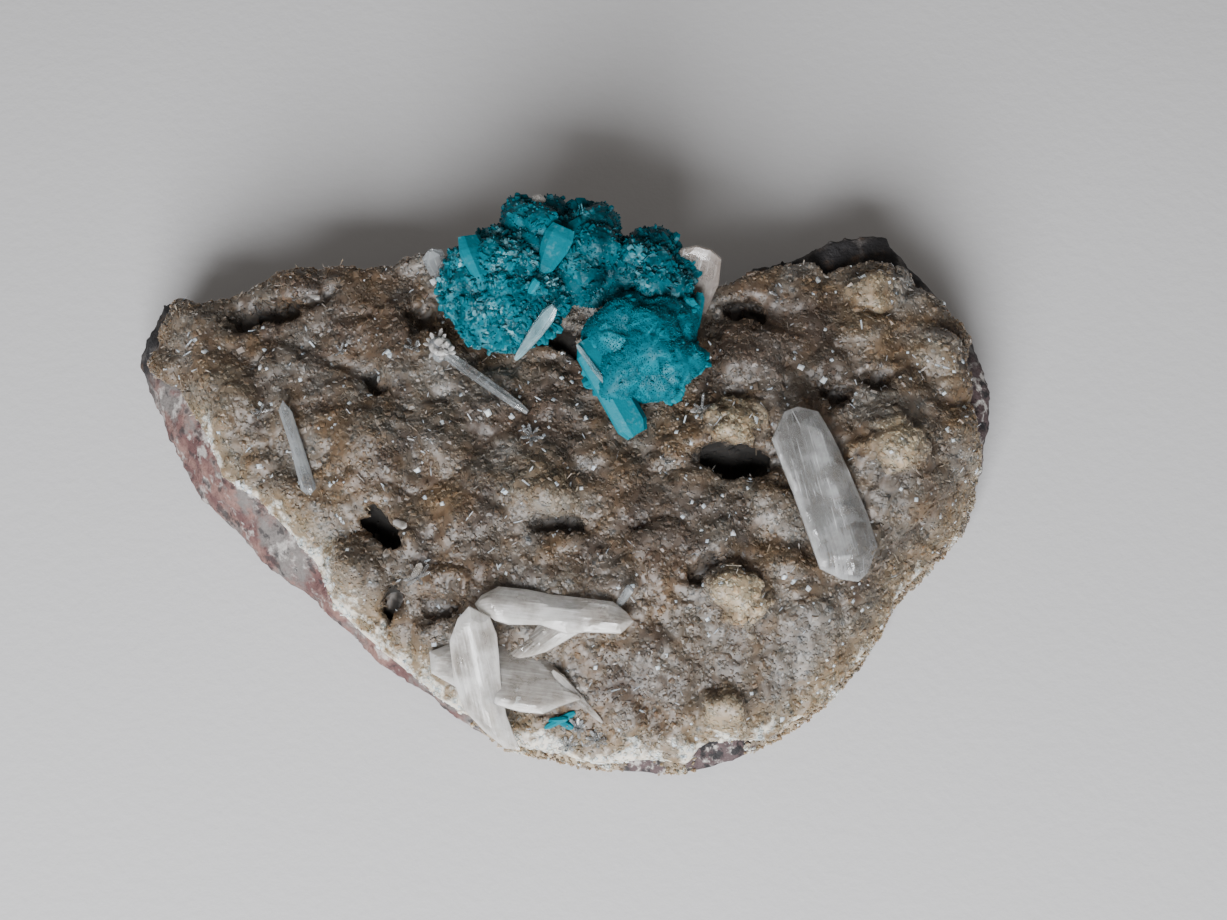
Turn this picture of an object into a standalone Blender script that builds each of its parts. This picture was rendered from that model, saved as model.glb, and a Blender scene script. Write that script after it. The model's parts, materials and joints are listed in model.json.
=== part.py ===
"""Cavansite rosettes and stilbite blades on a crust of small crystals over a basalt plate.

The plate lies on its flat underside, with the origin under the middle of its outline,
+X along its length and +Z up. Sizes are in millimetres until a mesh is made.
"""

import math
import random
from dataclasses import dataclass

import bmesh
import bpy
from mathutils import Matrix, Vector, noise
from mathutils.geometry import area_tri, delaunay_2d_cdt

MM = 0.001
GAP = 0.3
UP = Vector((0.0, 0.0, 1.0))

# Outline of the plate seen from above, clockwise from its left corner: x, y, rim height
ROCK_RIM = [
    (-39.5, 20.5, 10.0), (-36.5, 19.5, 11.0), (-34.5, 19.5, 11.0), (-32.0, 21.0, 11.0),
    (-29.5, 22.5, 11.5), (-26.5, 23.0, 12.0), (-20.5, 22.5, 12.5), (-13.0, 24.0, 12.2),
    (-4.0, 24.5, 11.6), (6.0, 23.0, 11.6), (16.0, 20.5, 12.2), (19.0, 22.5, 12.0),
    (26.0, 25.5, 12.0), (32.0, 27.5, 12.0), (34.0, 27.0, 11.0), (38.0, 22.0, 9.0),
    (42.5, 17.0, 8.0), (44.0, 12.0, 7.0), (44.0, 7.5, 6.0), (43.5, 4.0, 5.0),
    (42.5, 0.5, 4.0), (40.5, -3.5, 3.0), (34.5, -9.5, 2.5), (30.0, -16.5, 2.0),
    (25.0, -22.0, 2.0), (20.0, -25.0, 1.5), (15.0, -27.0, 1.5), (9.5, -27.5, 1.5),
    (4.0, -27.0, 1.5), (0.0, -26.0, 1.5), (-5.5, -25.0, 1.5), (-11.5, -21.0, 2.0),
    (-18.0, -16.0, 2.0), (-23.5, -11.0, 2.5), (-30.5, -5.5, 3.0), (-37.5, 2.0, 3.0),
    (-42.0, 10.5, 4.0), (-44.0, 15.0, 5.0), (-43.0, 17.5, 7.0), (-41.0, 20.5, 9.0),
]

# Outline of the crust on it, in the same order: x, y, height of its upper edge
CRUST_RIM = [
    (-38.5, 19.0, 12.0), (-36.0, 18.0, 12.5), (-32.0, 19.5, 12.5), (-26.5, 22.0, 13.0),
    (-20.0, 21.5, 13.5), (-13.0, 23.0, 13.4), (-4.0, 23.5, 12.8), (6.0, 22.0, 12.8),
    (16.0, 19.5, 13.3), (20.0, 21.0, 13.5), (24.5, 23.0, 13.0), (27.0, 21.5, 13.0),
    (31.0, 23.0, 13.0), (35.0, 22.0, 12.0), (38.5, 19.0, 11.0), (41.5, 15.5, 10.0),
    (41.0, 10.5, 9.5), (42.0, 6.0, 8.5), (42.5, 3.0, 6.5), (41.0, -0.5, 5.0),
    (39.5, -3.5, 4.5), (34.0, -9.0, 4.5), (29.5, -16.0, 4.0), (24.5, -21.5, 4.0),
    (20.0, -24.0, 3.5), (17.5, -24.0, 4.0), (14.0, -24.5, 4.0), (12.5, -26.5, 3.5),
    (9.5, -26.0, 3.5), (4.0, -26.5, 3.5), (0.0, -25.5, 3.5), (-4.5, -24.5, 3.5),
    (-8.5, -22.0, 4.5), (-11.5, -20.2, 5.0), (-17.5, -15.5, 5.5), (-22.0, -11.5, 6.5),
    (-24.0, -7.0, 8.0), (-27.0, -4.0, 9.0), (-29.5, -1.5, 10.0), (-33.0, 0.5, 10.5),
    (-35.0, 5.0, 11.0), (-37.5, 9.5, 11.0), (-41.0, 12.5, 10.0), (-40.5, 15.5, 11.0),
]
RIM_STEP = 2.3
FINE_STEP = 1.8
COARSE_STEP = 4.2
BAND_STEP = 2.4
SPOT_JITTER = 0.22
LEAST_AREA = 1e-4
WELD = 0.0005
MEETING = 1e-7
NOISE_GAIN = 1.6

# The crust's upper face: a plateau that falls away to the front and rounds off at its rim
PLATEAU_Z = 13.5
FRONT_Y = 1.0
FRONT_FALL = 0.011
RIM_ROUNDING = 3.5
CRUST_AT_RIM = 1.3
CRUST_INSIDE = 4.6
THICKENING = 6.0
RIM_FADE = 2.5
TOP_MARGIN = 1.0
TOP_SEED = 3
FACET = 0.16
FACET_SEED = 5
BED_MARGIN = 2.0
BED_SEED = 9
CUTTER_DEPTH = 12.0

# Waves of the crust's upper face and of the bare rock band: height, wavelength, seed
COARSE_WAVE = (0.75, 6.5, 1.0)
FINE_WAVE = (0.45, 2.6, 7.0)
BAND_WAVE = (0.5, 2.4, 11.0)
BAND_MARGIN = 0.9
BAND_SEED = 13

# Rings of the broken side below the rim: share of the rim height, inset, roughness, seed
LEAST_INSET = 0.05
INSET_AT_FOOT = 0.35
INSET_HEIGHT = 10.0
SIDE_LEVELS = [(0.72, 0.4, 0.45, 17), (0.34, 1.2, 0.5, 19), (0.0, 3.0, 0.4, 29)]


@dataclass(frozen=True)
class Lump:
    """A rounded bulge of the crust."""

    x: float
    y: float
    radius: float
    height: float


# Shares of a lump's radius between which it slopes
LUMP_SLOPE = (0.25, 1.1)
LUMPS = [
    Lump(16.5, 4.0, 3.2, 2.0),
    Lump(32.0, 2.5, 3.6, 1.7),
    Lump(17.5, -12.5, 2.8, 1.9),
    Lump(-1.0, -2.0, 3.6, 1.3),
    Lump(16.0, -22.0, 2.6, 1.5),
    Lump(31.5, 19.5, 2.8, 1.2),
    Lump(30.0, 15.0, 3.2, 1.3),
    Lump(38.0, 13.0, 2.8, 1.0),
    Lump(18.5, 12.5, 4.2, 1.5),
    Lump(-16.0, 13.0, 3.6, 1.2),
    Lump(-20.5, 4.0, 6.5, 1.0),
    Lump(-27.0, 18.0, 4.6, 1.1),
    Lump(-20.5, -9.5, 3.2, 1.5),
    Lump(-32.0, 7.5, 5.0, 0.8),
    Lump(10.0, -9.0, 4.0, 1.0),
    Lump(25.0, -15.0, 4.6, 1.0),
    Lump(36.0, -2.0, 3.8, 0.8),
]


@dataclass(frozen=True)
class Pit:
    """A narrow hollow in the crust, turned by an angle from the X axis in degrees."""

    x: float
    y: float
    length: float
    width: float
    depth: float
    angle: float


# Shares of a pit's size between which it slopes, and where its spots lie
PIT_SLOPE = (0.45, 1.15)
PIT_CLEAR = 1.25
PIT_FLOOR = 0.5
PIT_FLOOR_STEP = 1.3
PIT_LIP = 0.53
PIT_LIP_SPOTS = 1.8
PIT_LEAST_LIP = 8
PITS = [
    Pit(-17.3, -5.0, 5.0, 2.4, 3.0, -47.0),
    Pit(-16.0, -12.0, 3.4, 2.4, 2.4, 0.0),
    Pit(17.4, 0.8, 8.0, 2.8, 3.2, -6.0),
    Pit(0.5, -5.2, 5.5, 2.2, 2.2, -5.0),
    Pit(-11.0, -12.6, 4.5, 2.6, 2.3, 10.0),
    Pit(27.5, 8.0, 3.4, 2.4, 2.0, 0.0),
    Pit(-29.0, 17.2, 9.0, 2.6, 2.2, 12.0),
    Pit(-13.5, 16.5, 3.6, 2.8, 1.8, 90.0),
    Pit(18.5, 17.2, 4.2, 2.4, 1.6, -20.0),
    Pit(13.7, -10.0, 3.2, 2.4, 1.8, 30.0),
    Pit(31.5, 9.5, 3.4, 2.4, 1.8, 20.0),
    Pit(8.0, -5.5, 3.0, 2.4, 1.3, 40.0),
    Pit(22.0, 8.5, 3.2, 2.4, 1.5, 70.0),
]


@dataclass(frozen=True)
class Lath:
    """A flat crystal from its root to its tip, with pointed ends, in millimetres."""

    root: tuple
    tip: tuple
    width: float
    thickness: float
    roll: float = 0.0
    root_width: float = 0.8
    root_taper: float = 0.12
    tip_taper: float = 0.16
    tip_width: float = 0.25


# Outline across a lath, as shares of half its width and half its thickness
LATH_OUTLINE = [
    (1.0, 0.25), (0.55, 1.0), (-0.55, 1.0), (-1.0, 0.25),
    (-1.0, -0.25), (-0.55, -1.0), (0.55, -1.0), (1.0, -0.25),
]
# Shares of a lath's full size: width at its root's point, then place and width of its middle,
# and thickness at its root's point, root, middle, shoulder and tip
ROOT_POINT_WIDTH = 0.45
MIDDLE_PLACE = 0.55
MIDDLE_WIDTH = 0.97
LATH_THICKNESS = (0.5, 0.9, 1.0, 0.92, 0.4)

BLADE_RIGHT = [
    Lath((28.0, -10.8, 10.8), (23.2, 4.8, 17.2), 5.8, 3.0, roll=10.0, tip_taper=0.2,
         tip_width=0.55),
    Lath((29.0, -9.6, 11.2), (24.9, 2.6, 16.2), 3.2, 2.6, roll=-24.0, tip_width=0.4),
]
BLADE_GROUP = [
    Lath((-5.7, -24.2, 5.6), (-7.9, -14.7, 12.6), 4.4, 2.2, roll=-8.0, tip_width=0.3),
    Lath((0.9, -20.9, 8.7), (-12.1, -19.3, 9.9), 5.7, 1.9, roll=6.0, root_width=0.6,
         root_taper=0.2, tip_taper=0.4, tip_width=0.5),
    Lath((4.3, -23.1, 6.0), (-0.4, -18.9, 9.3), 1.0, 0.8, root_width=0.5),
]
FORK = [
    Lath((7.4, -14.9, 12.3), (-7.7, -13.5, 12.8), 3.7, 2.1, roll=6.0, root_width=0.8,
         tip_taper=0.22),
    Lath((-2.9, -17.2, 9.4), (2.0, -14.6, 12.3), 2.2, 1.5),
]
PRISM = [Lath((5.9, -12.1, 10.6), (6.9, -10.9, 13.3), 0.9, 0.8, tip_width=0.5)]
NEEDLE_LEFT = [Lath((-23.5, -2.4, 12.2), (-26.5, 6.2, 15.3), 1.8, 1.2, root_width=0.7)]
NEEDLE_CENTRE = [
    Lath((-3.0, 6.0, 13.6), (-11.4, 11.8, 15.2), 1.1, 1.0, roll=15.0, tip_width=0.6),
    Lath((-11.0, 12.0, 13.4), (-12.4, 12.8, 15.8), 1.7, 1.5, roll=40.0, tip_width=0.4),
    Lath((-10.8, 12.8, 13.6), (-12.2, 11.4, 15.2), 1.6, 1.3, roll=-30.0, tip_width=0.4),
]
NEEDLE_CLUSTER = [Lath((-4.0, 9.6, 18.2), (-0.2, 12.8, 23.1), 1.1, 0.9, tip_width=0.5)]
BLADE_BEHIND = [Lath((14.6, 17.8, 12.6), (15.2, 20.8, 20.6), 3.0, 1.3, roll=8.0, tip_width=0.5)]
CHIP_BEHIND = [Lath((-11.9, 21.0, 12.8), (-12.8, 22.6, 17.4), 2.2, 1.1, roll=-10.0)]
SPRIG = [
    Lath((-1.2, -23.5, 5.4), (1.7, -22.3, 6.7), 0.7, 0.6, tip_width=0.5),
    Lath((-0.4, -22.5, 5.6), (1.5, -23.7, 6.2), 0.7, 0.6, roll=20.0, tip_width=0.5),
    Lath((-0.9, -22.8, 5.5), (1.0, -23.0, 6.8), 0.6, 0.5, roll=-15.0, tip_width=0.5),
]


@dataclass(frozen=True)
class Rosette:
    """A ball of blades that radiate from its centre, with rows blades along each of its edges."""

    centre: tuple
    radius: float
    rows: int
    seed: int


ROSETTES = [
    Rosette((-4.5, 16.3, 17.6), 7.4, 4, 11),
    Rosette((8.4, 12.0, 16.6), 6.4, 3, 23),
    Rosette((8.8, 18.6, 17.4), 4.5, 2, 31),
    Rosette((2.6, 20.2, 18.6), 5.2, 3, 47),
    Rosette((-1.8, 21.6, 20.0), 4.0, 2, 59),
]
CORE_SHARE = 0.74
SHORTEST_BLADE = 0.87
LONGEST_BLADE = 0.98
BLADE_BASE_SPREAD = 0.06
BLADE_TIP_LENGTH = 0.85
BLADE_TIP_WIDTH = 0.45
SPIN_AXIS = Vector((0.3, 0.5, 1.0))
CLUSTER_LATHS = [
    Lath((1.4, 11.8, 16.8), (8.3, 2.9, 14.9), 3.2, 1.8, roll=-15.0, tip_width=0.6),
    Lath((9.0, 11.6, 17.2), (14.4, 9.2, 17.2), 3.6, 1.8, roll=25.0, tip_width=0.5),
    Lath((9.5, 12.0, 16.0), (11.4, 6.2, 15.4), 3.4, 1.8, tip_width=0.5),
]
# The crust is level under the cluster, along lines: ends, half width
SEAT_Z = 13.1
SEAT_CLEARANCE = 0.5
SEAT_REACH = 40.0
SEATS = [
    ((-4.5, 15.5, SEAT_Z), (2.0, 18.5, SEAT_Z), 8.0),
    ((8.2, 12.0, SEAT_Z), (9.0, 17.5, SEAT_Z), 7.2),
    ((8.0, 6.0, SEAT_Z), (7.9, 2.6, SEAT_Z), 2.2),
]
# A lying crystal presses the crust down along a line: ends, half width
BEDS = [
    ((28.3, -11.4, 10.4), (24.0, 4.0, 12.9), 3.2),
    ((-5.7, -23.2, 5.0), (-7.9, -15.0, 10.2), 2.4),
    ((0.9, -20.9, 7.6), (-12.0, -19.3, 8.8), 2.9),
    ((3.4, -22.4, 5.6), (1.0, -20.4, 7.2), 1.2),
    ((7.2, -14.9, 11.1), (-7.5, -13.5, 11.4), 2.1),
    ((-24.2, -0.4, 12.4), (-26.5, 6.0, 13.2), 1.2),
    ((-3.6, 6.4, 13.0), (-11.4, 11.8, 13.4), 1.4),
    ((-0.8, -23.0, 5.4), (1.4, -23.0, 5.4), 1.4),
]
BED_BLEND = 1.5


@dataclass(frozen=True)
class Finish:
    """The plain look of one kind of mineral."""

    name: str
    colour: tuple
    roughness: float
    transmission: float = 0.0


BASALT = Finish("basalt", (0.085, 0.060, 0.058), 0.85)
DRUSE = Finish("druse", (0.330, 0.280, 0.220), 0.55)
CAVANSITE = Finish("cavansite", (0.004, 0.230, 0.290), 0.40)
STILBITE = Finish("stilbite", (0.720, 0.700, 0.670), 0.30, transmission=0.4)


def clear_scene():
    """Removes the objects that the scene starts with."""
    for old in list(bpy.context.scene.objects):
        bpy.data.objects.remove(old, do_unlink=True)


def material_of(finish):
    """Returns the finish's material, made once."""
    material = bpy.data.materials.get(finish.name)
    if material is None:
        material = bpy.data.materials.new(finish.name)
        material.use_nodes = True
        shader = material.node_tree.nodes["Principled BSDF"]
        shader.inputs["Base Color"].default_value = (*finish.colour, 1.0)
        shader.inputs["Roughness"].default_value = finish.roughness
        shader.inputs["Transmission Weight"].default_value = finish.transmission
    return material


def object_from(name, points, faces, finish=None):
    """Makes an object of a mesh given in millimetres, with its faces turned outwards."""
    mesh = bpy.data.meshes.new(name)
    mesh.from_pydata([Vector(point) * MM for point in points], [], faces)
    shape = bmesh.new()
    shape.from_mesh(mesh)
    bmesh.ops.recalc_face_normals(shape, faces=shape.faces)
    shape.to_mesh(mesh)
    shape.free()
    piece = bpy.data.objects.new(name, mesh)
    bpy.context.scene.collection.objects.link(piece)
    if finish is not None:
        mesh.materials.append(material_of(finish))
    return piece


def hide_helper(piece):
    """Leaves a cutter or a guide out of the part."""
    piece.hide_render = True
    piece.display_type = "WIRE"


def smoothstep(low, high, value):
    """Rises from 0 at low to 1 at high without a corner."""
    share = min(max((value - low) / (high - low), 0.0), 1.0)
    return share * share * (3.0 - 2.0 * share)


def wave_height(x, y, wave):
    """Returns the height of a wave, given as its height, wavelength and seed, at a spot."""
    height, wavelength, seed = wave
    return height * waviness(x, y, wavelength, seed)


def waviness(x, y, wavelength, seed):
    """A smooth random height between about -1 and 1, the same on each run."""
    return noise.noise(Vector((x / wavelength, y / wavelength, seed))) * NOISE_GAIN


def ring_points(rim, step):
    """Walks a closed rim in steps of about the given length, keeping its corners."""
    points = []
    for start, end in zip(rim, rim[1:] + rim[:1]):
        start = Vector(start)
        end = Vector(end)
        count = max(1, round((end - start).to_2d().length / step))
        points.extend(start.lerp(end, share / count) for share in range(count))
    return points


def distance_to_ring(ring, x, y):
    """Returns the distance from a spot to a ring, and the ring's height at the nearest place."""
    spot = Vector((x, y))
    best = None
    for start, end in zip(ring, ring[1:] + ring[:1]):
        side = (end - start).to_2d()
        share = (spot - start.to_2d()).dot(side) / side.length_squared
        near = start.lerp(end, min(max(share, 0.0), 1.0))
        away = (near.to_2d() - spot).length
        if best is None or away < best[0]:
            best = (away, near.z)
    return best


def inside_ring(ring, x, y):
    """Says whether a spot is inside a closed ring."""
    inside = False
    for start, end in zip(ring, ring[1:] + ring[:1]):
        if (start.y > y) != (end.y > y):
            crossing = start.x + (y - start.y) / (end.y - start.y) * (end.x - start.x)
            if x < crossing:
                inside = not inside
    return inside


def scattered_spots(ring, step, margin, seed):
    """Returns spots of a jittered hexagonal grid inside a ring, clear of its edge."""
    chance = random.Random(seed)
    spots = []
    row_step = step * math.sqrt(3.0) / 2.0
    reach_x = max(abs(point.x) for point in ring)
    reach_y = max(abs(point.y) for point in ring)
    for row in range(-math.ceil(reach_y / row_step), math.ceil(reach_y / row_step) + 1):
        for column in range(-math.ceil(reach_x / step), math.ceil(reach_x / step) + 1):
            x = (column + 0.5 * (row % 2)) * step + chance.uniform(-SPOT_JITTER, SPOT_JITTER) * step
            y = row * row_step + chance.uniform(-SPOT_JITTER, SPOT_JITTER) * step
            if inside_ring(ring, x, y) and distance_to_ring(ring, x, y)[0] > margin:
                spots.append(Vector((x, y)))
    return spots


def pit_place(pit, x, y):
    """Returns a spot's place in a pit: 0 in its middle, 1 at its edge."""
    along = Vector((math.cos(math.radians(pit.angle)), math.sin(math.radians(pit.angle))))
    offset = Vector((x - pit.x, y - pit.y))
    across = along.x * offset.y - along.y * offset.x
    return math.hypot(offset.dot(along) / (pit.length / 2.0), across / (pit.width / 2.0))


def bed_limit(bed, x, y):
    """Returns how high the crust may rise at a spot beside a crystal's bed."""
    start, end, half_width = bed
    start = Vector(start)
    run = Vector(end) - start
    flat_run = run.to_2d()
    share = (Vector((x, y)) - start.to_2d()).dot(flat_run) / flat_run.length_squared
    near = start + run * min(max(share, 0.0), 1.0)
    away = (near.to_2d() - Vector((x, y))).length
    return near.z + max(0.0, away - half_width) * BED_BLEND


class Crust:
    """The crust of small crystals: the height of its upper and lower faces at any spot."""

    def __init__(self):
        self.ring = ring_points(CRUST_RIM, RIM_STEP)

    def ground(self, x, y):
        """Returns the height without lumps, pits and beds, and the distance to the rim."""
        away, rim_z = distance_to_ring(self.ring, x, y)
        plateau = PLATEAU_Z - FRONT_FALL * max(0.0, FRONT_Y - y) ** 2
        height = plateau + (rim_z - plateau) * math.exp(-away / RIM_ROUNDING)
        return height, away

    def top(self, x, y):
        """Returns the height of the upper face."""
        height, away = self.ground(x, y)
        fade = smoothstep(0.0, RIM_FADE, away)
        height += fade * (wave_height(x, y, COARSE_WAVE) + wave_height(x, y, FINE_WAVE))
        for lump in LUMPS:
            place = math.hypot(x - lump.x, y - lump.y) / lump.radius
            height += lump.height * (1.0 - smoothstep(*LUMP_SLOPE, place))
        for bed in BEDS + SEATS:
            height = min(height, bed_limit(bed, x, y))
        for pit in PITS:
            height -= fade * pit.depth * (1.0 - smoothstep(*PIT_SLOPE, pit_place(pit, x, y)))
        return height

    def bottom(self, x, y):
        """Returns the height of the lower face."""
        height, away = self.ground(x, y)
        thickness = CRUST_AT_RIM + (CRUST_INSIDE - CRUST_AT_RIM) * (1.0 - math.exp(-away / THICKENING))
        return height - thickness

    def top_spots(self):
        """Returns the spots of the upper face, closer together around the pits."""
        spots = scattered_spots(self.ring, FINE_STEP, TOP_MARGIN, TOP_SEED)
        for pit in PITS:
            spots = [spot for spot in spots if pit_place(pit, spot.x, spot.y) > PIT_CLEAR]
            spots.extend(self.pit_spots(pit))
        return spots

    def pit_spots(self, pit):
        """Returns a line of spots along a pit's floor and a ring of them around its lip."""
        turn = Matrix.Rotation(math.radians(pit.angle), 2)
        middle = Vector((pit.x, pit.y))
        floor_length = pit.length * PIT_FLOOR
        floor_count = max(2, round(floor_length / PIT_FLOOR_STEP) + 1)
        floor = [
            middle + turn @ Vector(((share / (floor_count - 1) - 0.5) * floor_length, 0.0))
            for share in range(floor_count)
        ]
        lip_count = max(PIT_LEAST_LIP, round(pit.length * PIT_LIP_SPOTS))
        lip = []
        for index in range(lip_count):
            angle = 2.0 * math.pi * (index + 0.5) / lip_count
            reach = Vector((math.cos(angle) * pit.length, math.sin(angle) * pit.width))
            lip.append(middle + turn @ (reach * PIT_LIP))
        return floor + lip


def triangulate(spots, rings):
    """Joins rings and the spots inside the last of them into triangles.

    Returns the points in the order of the rings and then the spots, and the triangles.
    """
    points = [point.to_2d() for ring in rings for point in ring]
    edges = []
    first = 0
    for ring in rings:
        count = len(ring)
        edges.extend((first + index, first + (index + 1) % count) for index in range(count))
        first += count
    points.extend(spots)
    result = delaunay_2d_cdt(points, edges, [], 0, MEETING, True)
    assert len(result[0]) == len(points), "an outline crosses itself"
    faces = []
    for face in result[2]:
        first, second, third = (points[index] for index in face)
        middle = (first + second + third) / 3.0
        flat = area_tri(first, second, third) < LEAST_AREA
        if not flat and inside_ring(rings[-1], middle.x, middle.y):
            faces.append(tuple(face))
    return points, faces


def wall_between(upper_first, lower_first, count):
    """Returns the triangles between two rings of equal length."""
    faces = []
    for index in range(count):
        following = (index + 1) % count
        faces.append((upper_first + index, upper_first + following, lower_first + following))
        faces.append((upper_first + index, lower_first + following, lower_first + index))
    return faces


def crust_shell(crust, lift):
    """Returns the points and faces of the crust's upper face, raised by lift."""
    chance = random.Random(FACET_SEED)
    flat, faces = triangulate(crust.top_spots(), [crust.ring])
    points = [Vector((*flat[index], rim.z + lift)) for index, rim in enumerate(crust.ring)]
    for spot in flat[len(crust.ring):]:
        facet = chance.uniform(-FACET, FACET)
        points.append(Vector((*spot, crust.top(spot.x, spot.y) + facet + lift)))
    return points, faces


def bed_spots(crust):
    """Returns the coarse spots on which the crust and the rock meet."""
    return scattered_spots(crust.ring, COARSE_STEP, BED_MARGIN, BED_SEED)


def make_crust(crust):
    """Builds the crust between its upper face and the rock."""
    points, faces = crust_shell(crust, 0.0)
    flat, lower_faces = triangulate(bed_spots(crust), [crust.ring])
    first_lower = len(points)
    points.extend(Vector((*spot, crust.bottom(spot.x, spot.y) + GAP)) for spot in flat)
    faces = faces + [tuple(first_lower + index for index in face) for face in lower_faces]
    faces += wall_between(0, first_lower, len(crust.ring))
    return object_from("druse_crust", points, faces, DRUSE)


def make_crust_cutter(crust):
    """Builds what the crust takes out of the crystals that grow in it, with the gap."""
    points, faces = crust_shell(crust, GAP)
    flat, lower_faces = triangulate([], [crust.ring])
    first_lower = len(points)
    points.extend(Vector((*spot, -CUTTER_DEPTH)) for spot in flat)
    faces = faces + [tuple(first_lower + index for index in face) for face in lower_faces]
    faces += wall_between(0, first_lower, len(crust.ring))
    cutter = object_from("crust_cutter", points, faces)
    hide_helper(cutter)
    return cutter


def rock_side(ring, level, inset, roughness, seed):
    """Returns a ring of the rock's broken side at a share of its rim height.

    The ring is drawn in towards the plate's middle, further where the rim is higher.
    """
    chance = random.Random(seed)
    points = []
    for point in ring:
        out = Vector((point.x, point.y, 0.0)).normalized()
        share = INSET_AT_FOOT + point.z / INSET_HEIGHT
        away = inset * share + chance.uniform(-roughness, roughness)
        moved = point - out * max(away, LEAST_INSET)
        points.append(Vector((moved.x, moved.y, point.z * level)))
    return points


def make_rock(crust):
    """Builds the basalt plate: the bed of the crust, a broken side and a flat underside."""
    rim = ring_points(ROCK_RIM, RIM_STEP)
    band = [
        spot
        for spot in scattered_spots(rim, BAND_STEP, BAND_MARGIN, BAND_SEED)
        if not inside_ring(crust.ring, spot.x, spot.y)
        and distance_to_ring(crust.ring, spot.x, spot.y)[0] > BAND_MARGIN
    ]
    flat, faces = triangulate(bed_spots(crust) + band, [crust.ring, rim])
    points = []
    for index, spot in enumerate(flat):
        in_bed = index < len(crust.ring)
        on_rim = len(crust.ring) <= index < len(crust.ring) + len(rim)
        if on_rim:
            height = rim[index - len(crust.ring)].z
        elif in_bed or inside_ring(crust.ring, spot.x, spot.y):
            height = crust.bottom(spot.x, spot.y)
        else:
            height = band_height(crust, rim, spot)
        points.append(Vector((*spot, height)))
    first_rim = len(crust.ring)
    previous = first_rim
    for level, inset, roughness, seed in SIDE_LEVELS:
        first = len(points)
        points.extend(rock_side(rim, level, inset, roughness, seed))
        faces += wall_between(previous, first, len(rim))
        previous = first
    under_ring = points[previous:]
    _, under_faces = triangulate([], [under_ring])
    faces += [tuple(previous + index for index in face) for face in under_faces]
    return object_from("basalt_matrix", points, faces, BASALT)


def band_height(crust, rim, spot):
    """Returns the height of the bare rock between the crust's rim and the plate's rim."""
    to_crust, _ = distance_to_ring(crust.ring, spot.x, spot.y)
    to_rim, rim_z = distance_to_ring(rim, spot.x, spot.y)
    edge_z = crust.bottom(spot.x, spot.y)
    share = to_rim / (to_rim + to_crust)
    return rim_z + (edge_z - rim_z) * share + wave_height(spot.x, spot.y, BAND_WAVE)


def lath_mesh(lath, grow=0.0):
    """Returns the points and faces of one flat crystal, made larger all round by grow."""
    root = Vector(lath.root)
    run = Vector(lath.tip) - root
    length = run.length
    along = run.normalized()
    across = along.cross(UP).normalized()
    across = Matrix.Rotation(math.radians(lath.roll), 3, along) @ across
    over = across.cross(along)
    half_width = lath.width / 2.0 + grow
    half_thickness = lath.thickness / 2.0 + grow
    sections = [
        (-grow / length, lath.root_width * ROOT_POINT_WIDTH),
        (lath.root_taper, lath.root_width),
        (MIDDLE_PLACE, MIDDLE_WIDTH),
        (1.0 - lath.tip_taper, 1.0),
        (1.0 + grow / length, lath.tip_width),
    ]
    points = []
    for (share, wide), thick in zip(sections, LATH_THICKNESS):
        middle = root + run * share
        for side, height in LATH_OUTLINE:
            points.append(
                middle + across * (side * wide * half_width) + over * (height * thick * half_thickness)
            )
    count = len(LATH_OUTLINE)
    faces = []
    for section in range(len(sections) - 1):
        faces += wall_between(section * count, (section + 1) * count, count)
    last = (len(sections) - 1) * count
    faces.append(tuple(range(count)))
    faces.append(tuple(range(last, last + count)))
    return points, faces


def rosette_mesh(rosette):
    """Returns the points and faces of a ball of blades.

    A cube's sides are cut into squares and rounded into a core. Each square grows outwards
    into a blade with a narrow end, turned and lengthened at random.
    """
    chance = random.Random(rosette.seed)
    shape = bmesh.new()
    bmesh.ops.create_cube(shape, size=2.0)
    bmesh.ops.subdivide_edges(
        shape, edges=shape.edges, cuts=rosette.rows - 1, use_grid_fill=True
    )
    spin = Matrix.Rotation(rosette.seed, 3, SPIN_AXIS)
    core = rosette.radius * CORE_SHARE
    for vertex in shape.verts:
        curved = [math.tan(value * math.pi / 4.0) for value in vertex.co]
        vertex.co = spin @ Vector(curved).normalized() * core
        vertex.co *= 1.0 + chance.uniform(-BLADE_BASE_SPREAD, BLADE_BASE_SPREAD)
    grown = bmesh.ops.extrude_discrete_faces(shape, faces=shape.faces)["faces"]
    for face in grown:
        out = face.calc_center_median().normalized()
        reach = rosette.radius * chance.uniform(SHORTEST_BLADE, LONGEST_BLADE)
        middle = out * reach
        base = face.calc_center_median()
        long_side = (face.verts[1].co - face.verts[0].co).normalized()
        if chance.random() < 0.5:
            long_side = (face.verts[2].co - face.verts[1].co).normalized()
        wide_side = out.cross(long_side).normalized()
        for vertex in face.verts:
            offset = vertex.co - base
            along = offset.dot(long_side) * BLADE_TIP_LENGTH
            across = offset.dot(wide_side) * BLADE_TIP_WIDTH
            vertex.co = middle + long_side * along + wide_side * across
    bmesh.ops.triangulate(shape, faces=shape.faces)
    shape.verts.index_update()
    centre = Vector(rosette.centre)
    points = [centre + vertex.co for vertex in shape.verts]
    faces = [tuple(vertex.index for vertex in face.verts) for face in shape.faces]
    shape.free()
    return points, faces


def boolean(piece, tool, operation):
    """Adds another solid to a piece, or takes it away, and keeps the result as its mesh."""
    change = piece.modifiers.new(operation.lower(), "BOOLEAN")
    change.operation = operation
    change.solver = "EXACT"
    change.object = tool
    depsgraph = bpy.context.evaluated_depsgraph_get()
    result = bpy.data.meshes.new_from_object(piece.evaluated_get(depsgraph))
    piece.modifiers.clear()
    piece.data = result


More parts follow.
